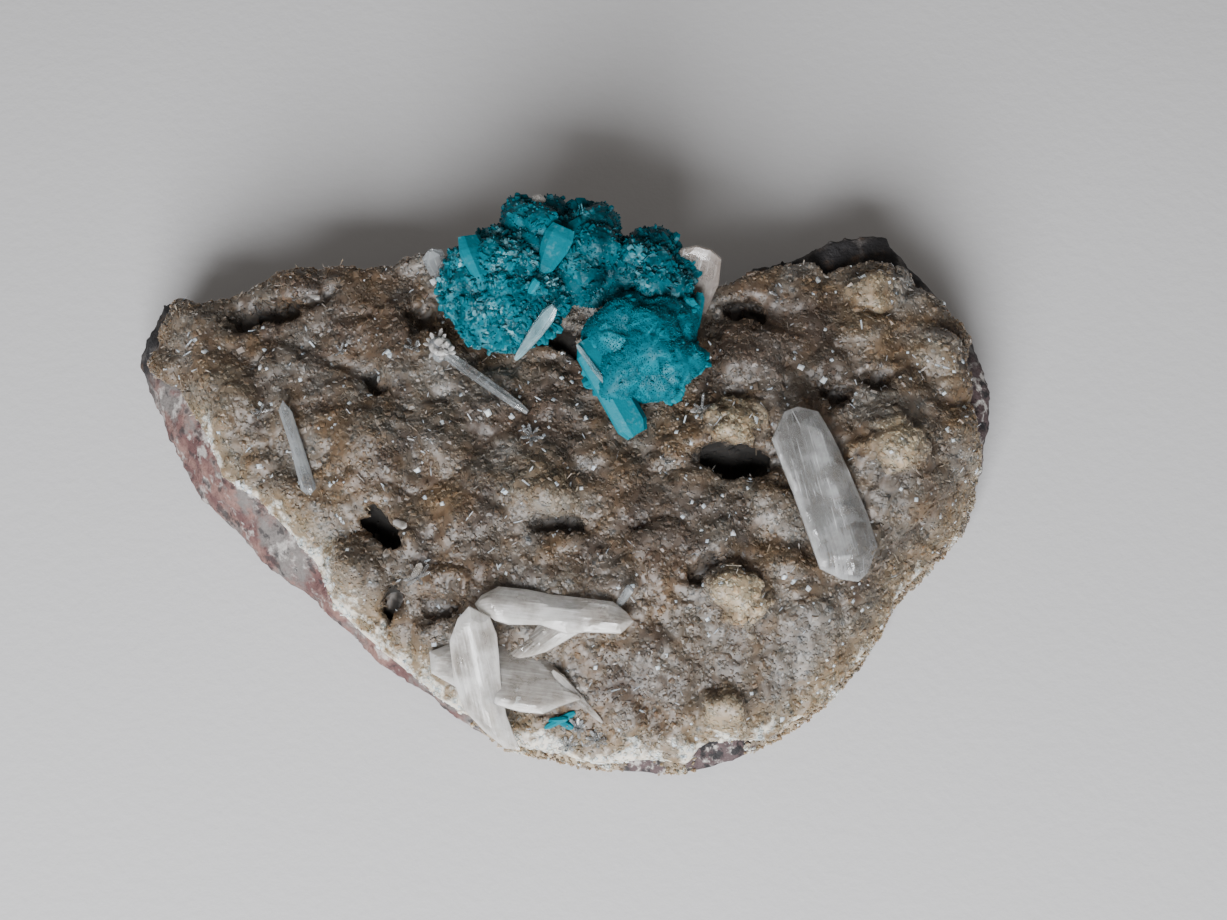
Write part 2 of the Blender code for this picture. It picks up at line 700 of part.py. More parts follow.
def keep_largest_body(piece):
    """Takes off the chips that a cut leaves loose, and merges points that nearly meet."""
    shape = bmesh.new()
    shape.from_mesh(piece.data)
    bmesh.ops.remove_doubles(shape, verts=shape.verts, dist=WELD * MM)
    left = set(shape.faces)
    bodies = []
    while left:
        start = next(iter(left))
        left.remove(start)
        body = [start]
        for face in body:
            for edge in face.edges:
                for other in edge.link_faces:
                    if len(edge.link_faces) == 2 and other in left:
                        left.remove(other)
                        body.append(other)
        bodies.append(body)
    bodies.sort(key=len)
    for body in bodies[:-1]:
        bmesh.ops.delete(shape, geom=body, context="FACES")
    bmesh.ops.triangulate(shape, faces=shape.faces)
    shape.to_mesh(piece.data)
    shape.free()


def joined_laths(name, laths, finish, grow=0.0):
    """Builds one crystal of laths that grew through each other."""
    piece = object_from(name, *lath_mesh(laths[0], grow), finish)
    for lath in laths[1:]:
        tool = object_from(name + "_part", *lath_mesh(lath, grow))
        boolean(piece, tool, "UNION")
        bpy.data.objects.remove(tool, do_unlink=True)
    return piece


def make_crystal(name, laths, finish, crust_cutter):
    """Builds a crystal and cuts it off where it enters the crust."""
    piece = joined_laths(name, laths, finish)
    boolean(piece, crust_cutter, "DIFFERENCE")
    keep_largest_body(piece)
    return piece


def make_seat_cutter():
    """Builds the block that ends the cluster level, just above its seat on the crust."""
    sides_at = (-SEAT_REACH, SEAT_REACH)
    corners = [(x, y, z) for x in sides_at for y in sides_at for z in (0.0, SEAT_Z + SEAT_CLEARANCE)]
    faces = [(0, 1, 3, 2), (4, 6, 7, 5), (0, 4, 5, 1), (2, 3, 7, 6), (0, 2, 6, 4), (1, 5, 7, 3)]
    cutter = object_from("seat_cutter", corners, faces)
    hide_helper(cutter)
    return cutter


def make_cluster():
    """Builds the cavansite rosettes as one solid, with a groove for the needle on them."""
    piece = object_from("cavansite_cluster", *rosette_mesh(ROSETTES[0]), CAVANSITE)
    tools = [rosette_mesh(rosette) for rosette in ROSETTES[1:]]
    tools += [lath_mesh(lath) for lath in CLUSTER_LATHS]
    for points, faces in tools:
        tool = object_from("rosette_part", points, faces)
        boolean(piece, tool, "UNION")
        bpy.data.objects.remove(tool, do_unlink=True)
    groove = joined_laths("needle_groove", NEEDLE_CLUSTER, None, grow=GAP)
    hide_helper(groove)
    boolean(piece, groove, "DIFFERENCE")
    boolean(piece, make_seat_cutter(), "DIFFERENCE")
    keep_largest_body(piece)
    return piece


def main():
    """Builds every piece of the specimen."""
    clear_scene()
    crust = Crust()
    make_rock(crust)
    make_crust(crust)
    crust_cutter = make_crust_cutter(crust)
    make_cluster()
    make_crystal("cavansite_sprig", SPRIG, CAVANSITE, crust_cutter)
    make_crystal("stilbite_blade_right", BLADE_RIGHT, STILBITE, crust_cutter)
    make_crystal("stilbite_blade_group", BLADE_GROUP, STILBITE, crust_cutter)
    make_crystal("stilbite_fork", FORK, STILBITE, crust_cutter)
    make_crystal("stilbite_prism", PRISM, STILBITE, crust_cutter)
    make_crystal("stilbite_needle_left", NEEDLE_LEFT, STILBITE, crust_cutter)
    make_crystal("stilbite_needle_centre", NEEDLE_CENTRE, STILBITE, crust_cutter)
    make_crystal("stilbite_needle_cluster", NEEDLE_CLUSTER, STILBITE, crust_cutter)
    make_crystal("stilbite_blade_behind", BLADE_BEHIND, STILBITE, crust_cutter)
    make_crystal("stilbite_chip_behind", CHIP_BEHIND, STILBITE, crust_cutter)


main()
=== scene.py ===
"""Cavansite rosettes and stilbite blades on a druse crust over basalt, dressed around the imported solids."""

from __future__ import annotations

import json
import logging
import math
from dataclasses import dataclass, replace
from enum import Enum
from typing import Any, Optional, Sequence, Union

import bmesh
import bpy
import numpy as np
from mathutils import Matrix, Vector, geometry, noise

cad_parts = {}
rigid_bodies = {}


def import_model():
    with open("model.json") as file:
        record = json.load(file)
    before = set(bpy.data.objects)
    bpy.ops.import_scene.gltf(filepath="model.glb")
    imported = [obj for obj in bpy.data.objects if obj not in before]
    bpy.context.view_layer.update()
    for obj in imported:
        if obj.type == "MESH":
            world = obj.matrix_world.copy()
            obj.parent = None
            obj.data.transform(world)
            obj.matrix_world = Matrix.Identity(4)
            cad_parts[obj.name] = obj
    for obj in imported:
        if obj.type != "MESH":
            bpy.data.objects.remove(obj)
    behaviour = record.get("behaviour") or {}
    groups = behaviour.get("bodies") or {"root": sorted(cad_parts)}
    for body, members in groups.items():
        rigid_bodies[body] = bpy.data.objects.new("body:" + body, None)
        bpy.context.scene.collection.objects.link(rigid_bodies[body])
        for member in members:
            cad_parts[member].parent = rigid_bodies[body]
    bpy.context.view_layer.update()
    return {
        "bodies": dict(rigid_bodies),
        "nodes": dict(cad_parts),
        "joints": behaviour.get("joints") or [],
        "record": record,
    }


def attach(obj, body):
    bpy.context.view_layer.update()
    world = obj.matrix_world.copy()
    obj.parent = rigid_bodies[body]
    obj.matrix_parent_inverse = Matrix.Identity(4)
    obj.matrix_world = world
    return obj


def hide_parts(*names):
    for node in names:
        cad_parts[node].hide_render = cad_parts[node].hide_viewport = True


MM = 0.001
BODY = "root"
UP = Vector((0.0, 0.0, 1.0))
TINY = 1e-6
PATTERN_ROUGHNESS = 0.6
CLOUD_FALL = 0.8
CLOUD_STEP = 2.0
SHARP_ANGLE = 16.0
GOLDEN_TURN = math.pi * (3.0 - math.sqrt(5.0))
Colour = tuple[float, float, float]
Place = tuple[float, float, float]
Build = tuple[list[Vector], list[tuple[int, ...]], list[tuple[float, float]], list[float]]
log = logging.getLogger("cavansite")


class Wire:
    """A node's output that is used in sums like a number."""

    def __init__(self, board: NodeBoard, socket: bpy.types.NodeSocket) -> None:
        """Keeps the board that the socket is on and the socket."""
        self.board = board
        self.socket = socket

    def _math(self, operation: str, first: Any, second: Any) -> Wire:
        """Returns the result of a Math node on two values."""
        return self.board.wire("ShaderNodeMath", {"operation": operation}, {0: first, 1: second})

    def __add__(self, other: Any) -> Wire:
        """Returns self + other."""
        return self._math("ADD", self, other)

    __radd__ = __add__

    def __sub__(self, other: Any) -> Wire:
        """Returns self - other."""
        return self._math("SUBTRACT", self, other)

    def __rsub__(self, other: Any) -> Wire:
        """Returns other - self."""
        return self._math("SUBTRACT", other, self)

    def __mul__(self, other: Any) -> Wire:
        """Returns self * other."""
        return self._math("MULTIPLY", self, other)

    __rmul__ = __mul__

    def __gt__(self, other: Any) -> Wire:
        """Returns 1 where self is above other, else 0."""
        return self._math("GREATER_THAN", self, other)

    def larger(self, other: Any) -> Wire:
        """Returns the larger of self and other."""
        return self._math("MAXIMUM", self, other)

    def smaller(self, other: Any) -> Wire:
        """Returns the smaller of self and other."""
        return self._math("MINIMUM", self, other)

    def ramp(self, low: Any, high: Any) -> Wire:
        """Returns 0 below low and 1 above high, with a smooth step between."""
        settings = {"interpolation_type": "SMOOTHSTEP"}
        return self.board.wire("ShaderNodeMapRange", settings, {0: self, 1: low, 2: high})


Value = Union[Wire, float, int, Sequence[float]]


class NodeBoard:
    """A node tree with one way to add any node."""

    def __init__(self, tree: bpy.types.NodeTree) -> None:
        """Keeps the tree."""
        self.tree = tree

    def node(
        self, kind: str, settings: Optional[dict[str, Any]] = None, inputs: Optional[dict[Any, Value]] = None
    ) -> bpy.types.Node:
        """Adds one node.

        Args:
            kind: The node's type.
            settings: Its properties, set first.
            inputs: The values or links of its sockets, by name or number.

        Returns:
            The node.
        """
        node = self.tree.nodes.new(kind)
        for name, value in (settings or {}).items():
            setattr(node, name, value)
        for key, value in (inputs or {}).items():
            socket = node.inputs[key]
            if isinstance(value, Wire):
                self.tree.links.new(value.socket, socket)
            else:
                socket.default_value = value
        return node

    def wire(
        self,
        kind: str,
        settings: Optional[dict[str, Any]] = None,
        inputs: Optional[dict[Any, Value]] = None,
        output: Union[int, str] = 0,
    ) -> Wire:
        """Adds one node and returns one of its outputs.

        Args:
            kind: The node's type.
            settings: Its properties.
            inputs: The values or links of its sockets.
            output: The name or number of the output.

        Returns:
            The output.
        """
        return Wire(self, self.node(kind, settings, inputs).outputs[output])

    def vector(self, operation: str, first: Value, second: Value) -> Wire:
        """Returns the result of a Vector Math node on two values."""
        return self.wire("ShaderNodeVectorMath", {"operation": operation}, {0: first, 1: second})

    def scaled(self, value: Wire, share: Wire) -> Wire:
        """Returns a colour or vector made larger or smaller by a factor."""
        return self.wire("ShaderNodeVectorMath", {"operation": "SCALE"}, {0: value, "Scale": share})


class Shading(NodeBoard):
    """The nodes of one material."""

    def __init__(self, name: str) -> None:
        """Makes an empty material of that name.

        Args:
            name: The material's name.
        """
        self.material = bpy.data.materials.new(name)
        self.material.use_nodes = True
        super().__init__(self.material.node_tree)
        self.tree.nodes.clear()
        self.place = self.wire("ShaderNodeTexCoord", output="Object")

    def attribute(self, name: str) -> Wire:
        """Returns a number kept on the mesh."""
        return self.wire("ShaderNodeAttribute", {"attribute_name": name}, output="Fac")

    def noise(
        self, grain: float, detail: float = 3.0, shift: float = 0.0, place: Optional[Wire] = None
    ) -> Wire:
        """Adds a cloudy pattern.

        Args:
            grain: The size of its patches, in millimetres.
            detail: How many finer layers it has.
            shift: Moves the pattern, so that two of the same size differ.
            place: Where it is read, the object's place unless given.

        Returns:
            The pattern, from 0 to 1.
        """
        spot = place or self.place
        if shift:
            spot = self.vector("ADD", spot, (shift, shift, shift))
        inputs = {
            "Vector": spot,
            "Scale": 1.0 / (grain * MM),
            "Detail": detail,
            "Roughness": PATTERN_ROUGHNESS,
        }
        return self.wire("ShaderNodeTexNoise", {}, inputs, "Fac")

    def mix(self, share: Value, first: Union[Wire, Colour], second: Union[Wire, Colour]) -> Wire:
        """Mixes two colours.

        Args:
            share: How much of the second one shows.
            first: The first colour.
            second: The second colour.

        Returns:
            The mixed colour.
        """
        colours = [value if isinstance(value, Wire) else (*value, 1.0) for value in (first, second)]
        settings = {"data_type": "RGBA"}
        return self.wire("ShaderNodeMix", settings, {0: share, 6: colours[0], 7: colours[1]}, 2)

    def bump(self, height: Wire, depth: float) -> Wire:
        """Returns the normal of a relief of that depth in millimetres."""
        return self.wire("ShaderNodeBump", {}, {"Height": height, "Distance": depth * MM}, "Normal")

    def surface(self, inputs: dict[str, Value]) -> Wire:
        """Returns a surface shader with those sockets set."""
        return self.wire("ShaderNodeBsdfPrincipled", {}, inputs)

    def blend(self, share: Wire, first: Wire, second: Wire) -> Wire:
        """Returns a mix of two surface shaders, share of it the second."""
        return self.wire("ShaderNodeMixShader", {}, {0: share, 1: first, 2: second})

    def finish(self, shader: Wire) -> bpy.types.Material:
        """Returns the material, ended in that shader."""
        self.node("ShaderNodeOutputMaterial", {}, {"Surface": shader})
        return self.material


@dataclass(frozen=True)
class DruseFinish:
    """Fine grey-brown crystal sugar with ochre, frosty and dark patches, the dark ones partly painted shade,
    with painted shade in its creases and hollows and cream lumps partly painted as highlights.
    """

    grey: Colour = (0.094, 0.077, 0.059)
    ochre: Colour = (0.115, 0.072, 0.038)
    brown_and_crease_shade: Colour = (0.034, 0.021, 0.014)
    umber_and_shade: Colour = (0.052, 0.034, 0.024)
    frosty: Colour = (0.168, 0.152, 0.134)
    cream_and_highlight: Colour = (0.320, 0.240, 0.150)
    sand: Colour = (0.190, 0.135, 0.076)
    rim: Colour = (0.580, 0.530, 0.450)
    black: Colour = (0.004, 0.003, 0.002)
    glint: Colour = (0.700, 0.690, 0.680)
    glint_share: float = 0.982
    roughness: float = 0.30

    def colour(self, shade: Shading) -> Wire:
        """Returns the crust's colour before its small specks.

        Args:
            shade: The nodes it is read in.

        Returns:
            The colour.
        """
        colour = shade.mix(shade.noise(6.0, 3.0).ramp(0.38, 0.64), self.grey, self.ochre)
        colour = shade.mix(shade.noise(4.6, 3.0, 3.1).ramp(0.50, 0.72) * 0.85, colour, self.brown_and_crease_shade)
        colour = shade.mix(shade.noise(6.5, 3.0, 7.3).ramp(0.48, 0.70) * 0.85, colour, self.frosty)
        # Darker umber patches: partly the crust's browner tone and partly painted shade over the places that
        # lie in shade.
        colour = shade.mix(shade.attribute("dusk") * 0.8, colour, self.umber_and_shade)
        # Painted shade: brown darkening in the creases between the humps.
        colour = shade.mix(shade.attribute("crease") * 0.6, colour, self.brown_and_crease_shade)
        # Cream on the lumps: partly the crust's own cream tone and partly a painted highlight on the humps.
        colour = shade.mix(shade.attribute("lump"), colour, self.cream_and_highlight)
        edge = shade.attribute("rim")
        zone = (edge + 0.7 * (shade.noise(3.6, 4.0, 11.0) - 0.5)).ramp(0.30, 0.90)
        colour = shade.mix(zone * 0.75, colour, self.sand)
        crumbs = (edge + 1.7 * (shade.noise(2.0, 6.0, 13.0) - 0.5)).ramp(0.76, 1.0)
        return shade.mix(crumbs, colour, self.rim)

    def material(self) -> bpy.types.Material:
        """Returns the material of the crust and of its grains.

        Returns:
            The material.
        """
        shade = Shading("druse")
        tint = shade.attribute("tint")
        light = 0.74 + 0.52 * shade.noise(0.7, 5.0, 1.7) + 0.55 * (tint - 0.5)
        colour = shade.scaled(self.colour(shade), light)
        # Painted shade: the hollows are coloured near black, as if no light reached in.
        colour = shade.mix(shade.attribute("hollow"), colour, self.black)
        colour = shade.mix((tint > self.glint_share) * 0.9, colour, self.glint)
        rough = self.roughness + 0.35 * shade.noise(0.8, 2.0, 5.0)
        return shade.finish(shade.surface({
            "Base Color": colour,
            "Roughness": rough.larger(shade.attribute("hollow")),
            "Normal": shade.bump(shade.noise(0.35, 3.0), 0.04),
            "Subsurface Weight": 1.0,
            "Subsurface Radius": (1.3 * MM, 1.0 * MM, 0.8 * MM),
            "Subsurface Scale": 1.0,
        }))


@dataclass(frozen=True)
class BasaltFinish:
    """Rough grey-black rock, weathered pink-red and pale along its broken front."""

    black: Colour = (0.010, 0.009, 0.010)
    grey: Colour = (0.120, 0.108, 0.102)
    rust: Colour = (0.170, 0.093, 0.078)
    wine: Colour = (0.085, 0.038, 0.036)
    plum: Colour = (0.062, 0.040, 0.041)
    pale: Colour = (0.380, 0.360, 0.340)
    edge: Colour = (0.100, 0.055, 0.028)
    sand: Colour = (0.300, 0.240, 0.170)

    def material(self) -> bpy.types.Material:
        """Returns the rock's material.

        Returns:
            The material.
        """
        shade = Shading("basalt")
        weathered = shade.attribute("weathered")
        fresh = shade.mix(shade.noise(2.0, 6.0).ramp(0.48, 0.75) * 0.7, self.black, self.grey)
        fresh = shade.mix(shade.noise(1.8, 6.0, 2.0).ramp(0.52, 0.74) * 0.6, fresh, self.edge)
        band = shade.mix(shade.noise(3.5, 4.0, 4.0).ramp(0.42, 0.58), self.wine, self.rust)
        band = shade.mix(shade.noise(4.5, 5.0, 6.0).ramp(0.46, 0.60), band, self.grey)
        band = shade.mix(shade.noise(1.8, 6.0, 8.0).ramp(0.53, 0.66) * 0.8, band, self.pale)
        band = shade.mix(shade.noise(1.7, 6.0, 9.0).ramp(0.54, 0.62) * 0.75, band, self.black)
        low = shade.wire("ShaderNodeSeparateXYZ", {}, {0: shade.place}, 2)
        foot = 1.0 - (low * (1.0 / MM) + 2.0 * shade.noise(2.0, 3.0, 2.0)).ramp(1.2, 3.2)
        band = shade.mix(foot * 0.8, band, self.wine)
        colour = shade.mix(weathered, fresh, band)
        coat = (shade.attribute("coat") + 0.5 * (shade.noise(1.8, 4.0, 12.0) - 0.5)).ramp(0.42, 0.58)
        colour = shade.mix(coat, colour, self.sand)
        patch = shade.mix(shade.noise(0.9, 5.0, 15.0).ramp(0.50, 0.64), self.plum, self.pale)
        patch = shade.mix(shade.noise(1.4, 4.0, 17.0).ramp(0.48, 0.58), patch, self.black)
        colour = shade.mix(shade.attribute("bare"), colour, patch)
        colour = shade.scaled(colour, 0.6 + 0.8 * shade.noise(0.5, 3.0, 3.0))
        height = shade.noise(0.9, 6.0, 5.0) + 0.35 * shade.noise(0.25, 3.0)
        return shade.finish(shade.surface({
            "Base Color": colour,
            "Roughness": 0.62 + 0.3 * shade.noise(1.2, 3.0, 1.0),
            "Normal": shade.bump(height, 0.35),
        }))


@dataclass(frozen=True)
class CavansiteFinish:
    """Deep teal to bright turquoise blades with a silver frost of painted sparkle, painted highlight on
    ridges and painted shade in the gaps.
    """

    deep: Colour = (0.0002, 0.016, 0.023)
    teal: Colour = (0.0001, 0.064, 0.084)
    bright: Colour = (0.0001, 0.084, 0.112)
    # Painted highlight colour for ridges and bright flecks.
    tip: Colour = (0.0004, 0.145, 0.186)
    frost: Colour = (0.165, 0.345, 0.385)

    def material(self) -> bpy.types.Material:
        """Returns the material of the rosettes, their blades and the sprig.

        Returns:
            The material.
        """
        shade = Shading("cavansite")
        tint = shade.attribute("tint")
        glow = shade.attribute("glow")
        colour = shade.mix(shade.noise(3.2, 4.0).ramp(0.30, 0.60), self.deep, self.teal)
        # The glow paints each piece brighter or darker: partly its own turquoise and partly painted light,
        # low for the shaded back pieces.
        colour = shade.mix((glow + 0.3 * (tint - 0.5)).ramp(0.0, 0.9), colour, self.bright)
        colour = shade.scaled(colour, 0.85 + 0.35 * tint)
        # Painted highlight: bright flecks and the ridges of standing blades take the tip colour.
        colour = shade.mix((shade.noise(0.9, 4.0, 2.0).ramp(0.6, 0.75)) * glow * 0.25, colour, self.tip)
        colour = shade.mix(shade.attribute("ridge") * (0.25 + 0.5 * glow), colour, self.tip)
        # Painted shade: the gaps between sheaves darken towards the deep teal.
        colour = shade.mix(shade.attribute("hollow") * (1.0 - 0.6 * glow), colour, self.deep)
        # Painted sparkle: silver flecks stand in for light caught by tiny facets, over the blades' own
        # frosted look.
        frosty = shade.attribute("frost") * shade.noise(1.8, 4.0, 8.0).ramp(0.42, 0.62)
        sparkle_flecks = ((tint > 0.82) * 0.8).larger(shade.noise(0.5, 4.0, 4.0).ramp(0.48, 0.68))
        colour = shade.mix(frosty * sparkle_flecks, colour, self.frost)
        relief = shade.noise(0.28, 3.0, 6.0)
        return shade.finish(shade.surface({
            "Base Color": colour,
            "Roughness": 0.30 + 0.25 * shade.noise(0.7, 2.0, 3.0),
            "Normal": shade.bump(relief, 0.05),
            "Specular IOR Level": 0.1,
        }))


@dataclass(frozen=True)
class StilbiteFinish:
    """See-through crystal with milky veils, fine lines along it and painted highlight streaks; least and most
    say how milky it is.
    """

    name: str
    milk: Colour = (0.660, 0.650, 0.630)
    shadow: Colour = (0.400, 0.360, 0.310)
    least: float = 0.2
    most: float = 0.66
    roughness: float = 0.10
    glint_streak: Colour = (0.900, 0.910, 0.920)

    def material(self) -> bpy.types.Material:
        """Returns the crystal's material.

        Returns:
            The material.
        """
        shade = Shading(self.name)
        chart = shade.wire("ShaderNodeUVMap", {"uv_map": "lath"})
        stretch = shade.vector("MULTIPLY", chart, (0.05, 1.0, 1.0))
        lines = shade.noise(0.22, 3.0, place=stretch)
        cloud = shade.noise(3.6, 5.0, 5.0)
        colour = shade.mix((0.82 * cloud + 0.18 * lines).ramp(0.30, 0.66), self.shadow, self.milk)
        # Painted highlight: white streaks along some of the fine lines, standing in for glints.
        glint_streak = lines.ramp(0.60, 0.68) * shade.noise(5.0, 2.0, 9.0).ramp(0.42, 0.58)
        colour = shade.mix(glint_streak * 0.7, colour, self.glint_streak)
        relief = shade.bump(0.6 * lines + 0.5 * shade.noise(0.9, 3.0, 2.0), 0.04)
        milky = shade.surface({
            "Base Color": colour,
            "Roughness": self.roughness + 0.3 * cloud,
            "Normal": relief,
            "Subsurface Weight": 0.5,
            "Subsurface Radius": (1.5 * MM, 1.5 * MM, 1.4 * MM),
            "Subsurface Scale": 1.0,
        })
        clear = shade.surface({
            "Base Color": (0.90, 0.91, 0.91, 1.0),
            "Roughness": 0.04 + 0.12 * cloud,
            "Normal": relief,
            "Transmission Weight": 1.0,
            "IOR": 1.5,
        })
        # The milk number makes edges and ends milkier: partly their frosted rims and partly painted edge
        # highlight.
        veil = (0.7 * cloud + 0.3 * lines).ramp(0.30, 0.68) * 0.8 + 0.8 * shade.attribute("milk")
        veil = veil.smaller(1.0)
        veil = veil * (self.most - self.least) + self.least
        return shade.finish(shade.blend(veil, clear, milky))


@dataclass(frozen=True)
class FloorFinish:
    """Pale grey paper."""

    paper: Colour = (0.500, 0.500, 0.505)

    def material(self) -> bpy.types.Material:
        """Returns the floor's material.

        Returns:
            The material.
        """
        shade = Shading("floor_paper")
        colour = shade.mix(shade.noise(40.0, 3.0) * 0.12, self.paper, (0.42, 0.41, 0.40))
        relief = shade.bump(shade.noise(1.2, 4.0), 0.05)
        return shade.finish(shade.surface({"Base Color": colour, "Roughness": 0.9, "Normal": relief}))


@dataclass
class Palette:
    """The materials that the pieces share."""

    druse: bpy.types.Material
    basalt: bpy.types.Material
    cavansite: bpy.types.Material
    milky: bpy.types.Material
    smoky: bpy.types.Material
    glassy: bpy.types.Material
    rosy: bpy.types.Material
    icy: bpy.types.Material

    @classmethod
    def mixed(cls) -> Palette:
        """Returns the palette with all its materials made.

        Returns:
            The palette.
        """
        return cls(
            druse=DruseFinish().material(),
            basalt=BasaltFinish().material(),
            cavansite=CavansiteFinish().material(),
            milky=StilbiteFinish("stilbite_milky").material(),
            smoky=StilbiteFinish(
                "stilbite_smoky", milk=(0.38, 0.39, 0.39), shadow=(0.21, 0.205, 0.195), least=0.20, most=0.56
            ).material(),
            glassy=StilbiteFinish(
                "stilbite_glassy", milk=(0.30, 0.32, 0.33), shadow=(0.22, 0.23, 0.235), least=0.12, most=0.50
            ).material(),
            rosy=StilbiteFinish(
                "stilbite_rosy", milk=(0.42, 0.38, 0.35), shadow=(0.29, 0.24, 0.21), least=0.20, most=0.55
            ).material(),
            icy=StilbiteFinish(
                "stilbite_icy", milk=(0.30, 0.44, 0.48), shadow=(0.16, 0.30, 0.34), least=0.25, most=0.65
            ).material(),
        )


def step(low: float, high: float, value: float) -> float:
    """Returns 0 below low and 1 above high, with a smooth step between."""
    share = min(max((value - low) / (high - low), 0.0), 1.0)
    return share * share * (3.0 - 2.0 * share)


def mesh_piece(
    name: str, points: Sequence[Any], faces: Sequence[Any], material: bpy.types.Material
) -> bpy.types.Object:
    """Makes a piece from points in millimetres.

    Args:
        name: The piece's name.
        points: Its corners.
        faces: The corners of its faces.
        material: Its material.

    Returns:
        The piece, linked into the scene.
    """
    mesh = bpy.data.meshes.new(name)
    mesh.from_pydata([tuple(Vector(point) * MM) for point in points], [], faces)
    mesh.materials.append(material)
    piece = bpy.data.objects.new(name, mesh)
    bpy.context.scene.collection.objects.link(piece)
    return piece


def set_numbers(mesh: bpy.types.Mesh, name: str, values: Sequence[float]) -> None:
    """Keeps one number for each point of a mesh."""
    layer = mesh.attributes.new(name, "FLOAT", "POINT")
    layer.data.foreach_set("value", np.asarray(values, np.float32))


def smooth(piece: bpy.types.Object) -> None:
    """Shades every face of a piece smooth."""
    piece.data.polygons.foreach_set("use_smooth", [True] * len(piece.data.polygons))
    piece.data.update()


def turn_outwards(mesh: bpy.types.Mesh) -> None:
    """Makes every face of a closed mesh point outwards.

    Args:
        mesh: The mesh.
    """
    work = bmesh.new()
    work.from_mesh(mesh)
    bmesh.ops.recalc_face_normals(work, faces=work.faces)
    work.to_mesh(mesh)
    work.free()


def baked(piece: bpy.types.Object) -> None:
    """Turns a piece's modifiers into plain mesh.

    Args:
        piece: The piece.
    """
    depsgraph = bpy.context.evaluated_depsgraph_get()
    made = bpy.data.meshes.new_from_object(
        piece.evaluated_get(depsgraph), preserve_all_data_layers=True, depsgraph=depsgraph
    )
    piece.modifiers.clear()
    old = piece.data
    piece.data = made
    made.name = piece.name
    if old.users == 0:
        bpy.data.meshes.remove(old)


def keep_largest(mesh: bpy.types.Mesh) -> None:
    """Removes all but the largest of a mesh's separate parts.

    Args:
        mesh: The mesh.
    """
    work = bmesh.new()
    work.from_mesh(mesh)
    left = set(work.verts)
    parts = []
    while left:
        front = [left.pop()]
        part = list(front)
        while front:
            corner = front.pop()
            beside = [edge.other_vert(corner) for edge in corner.link_edges]
            found = [other for other in beside if other in left]
            left.difference_update(found)
            front += found
            part += found
        parts.append(part)
    parts.sort(key=len)
    bmesh.ops.delete(work, geom=[corner for part in parts[:-1] for corner in part], context="VERTS")
    work.to_mesh(mesh)
    work.free()


def even_copy(
    node: bpy.types.Object, name: str, grid: float, rounds: int, material: bpy.types.Material
) -> bpy.types.Object:
    """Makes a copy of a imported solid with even, rounded faces.

    Args:
        node: The solid.
        name: The copy's name.
        grid: The size of its faces, in millimetres.
        rounds: How often its faces are smoothed.
        material: Its material.

    Returns:
        The copy, a plain mesh.
    """
    mesh = node.data.copy()
    work = bmesh.new()
    work.from_mesh(mesh)
    bmesh.ops.remove_doubles(work, verts=work.verts, dist=TINY)
    work.to_mesh(mesh)
    work.free()
    piece = bpy.data.objects.new(name, mesh)
    bpy.context.scene.collection.objects.link(piece)
    even = piece.modifiers.new("even", "REMESH")
    even.mode = "VOXEL"
    even.voxel_size = grid * MM
    soft = piece.modifiers.new("soft", "SMOOTH")
    soft.factor = 0.5
    soft.iterations = rounds
    baked(piece)
    keep_largest(piece.data)
    piece.data.materials.clear()
    piece.data.materials.append(material)
    return piece


def places(mesh: bpy.types.Mesh) -> np.ndarray:
    """Returns the points of a mesh in millimetres, one row each.

    Args:
        mesh: The mesh.

    Returns:
        The points.
    """
    flat = np.empty(len(mesh.vertices) * 3, np.float32)
    mesh.vertices.foreach_get("co", flat)
    return flat.reshape(-1, 3).astype(float) / MM


def normals(mesh: bpy.types.Mesh) -> np.ndarray:
    """Returns the directions that the points of a mesh face, one row each.

    Args:
        mesh: The mesh.

    Returns:
        The directions, one unit long.
    """
    flat = np.empty(len(mesh.vertices) * 3, np.float32)
    mesh.vertices.foreach_get("normal", flat)
    return flat.reshape(-1, 3).astype(float)


def put_places(mesh: bpy.types.Mesh, spots: np.ndarray) -> None:
    """Moves the points of a mesh to spots in millimetres."""
    mesh.vertices.foreach_set("co", (spots * MM).astype(np.float32).ravel())
    mesh.update()


def clouds(spots: np.ndarray, grain: float, octaves: int, shift: float = 0.0) -> np.ndarray:
    """Reads a cloudy pattern.

    Args:
        spots: Where it is read, in millimetres.
        grain: The size of its patches, in millimetres.
        octaves: How many layers it has.
        shift: Moves the pattern.

    Returns:
        About -1 to 1 for each spot.
    """
    moved = spots / grain + shift
    return np.array([noise.fractal(Vector(spot), CLOUD_FALL, CLOUD_STEP, octaves) for spot in moved])


def dress(piece: bpy.types.Object, slot: str, *nodes: str) -> bpy.types.Object:
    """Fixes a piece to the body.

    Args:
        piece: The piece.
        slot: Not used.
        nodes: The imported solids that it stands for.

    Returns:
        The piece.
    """
    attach(piece, BODY)
    if nodes:
        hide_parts(*nodes)
    log.info("%s: %d faces", piece.name, len(piece.data.polygons))
    return piece


@dataclass(frozen=True)
class Lump:
    """A round patch of the crust, in millimetres, and how strong it is."""

    x: float
    y: float
    radius: float
    strength: float

    def share(self, spots: np.ndarray, wave: float, grain: float, reach: float, slope: float) -> np.ndarray:
        """Reads the patch.

        Args:
            spots: Where it is read.
            wave: How wavy its edge is.
            grain: The size of those waves, as a share of its radius.
            reach: Where it ends, as a share of its radius.
            slope: How fast it ends there.

        Returns:
            How far each spot lies in it, from 0 to its strength.
        """
        away = np.hypot(spots[:, 0] - self.x, spots[:, 1] - self.y) / self.radius
        away = away + wave * clouds(spots, self.radius * grain, 4, self.x)
        return self.strength * np.clip((reach - away) * slope, 0.0, 1.0)


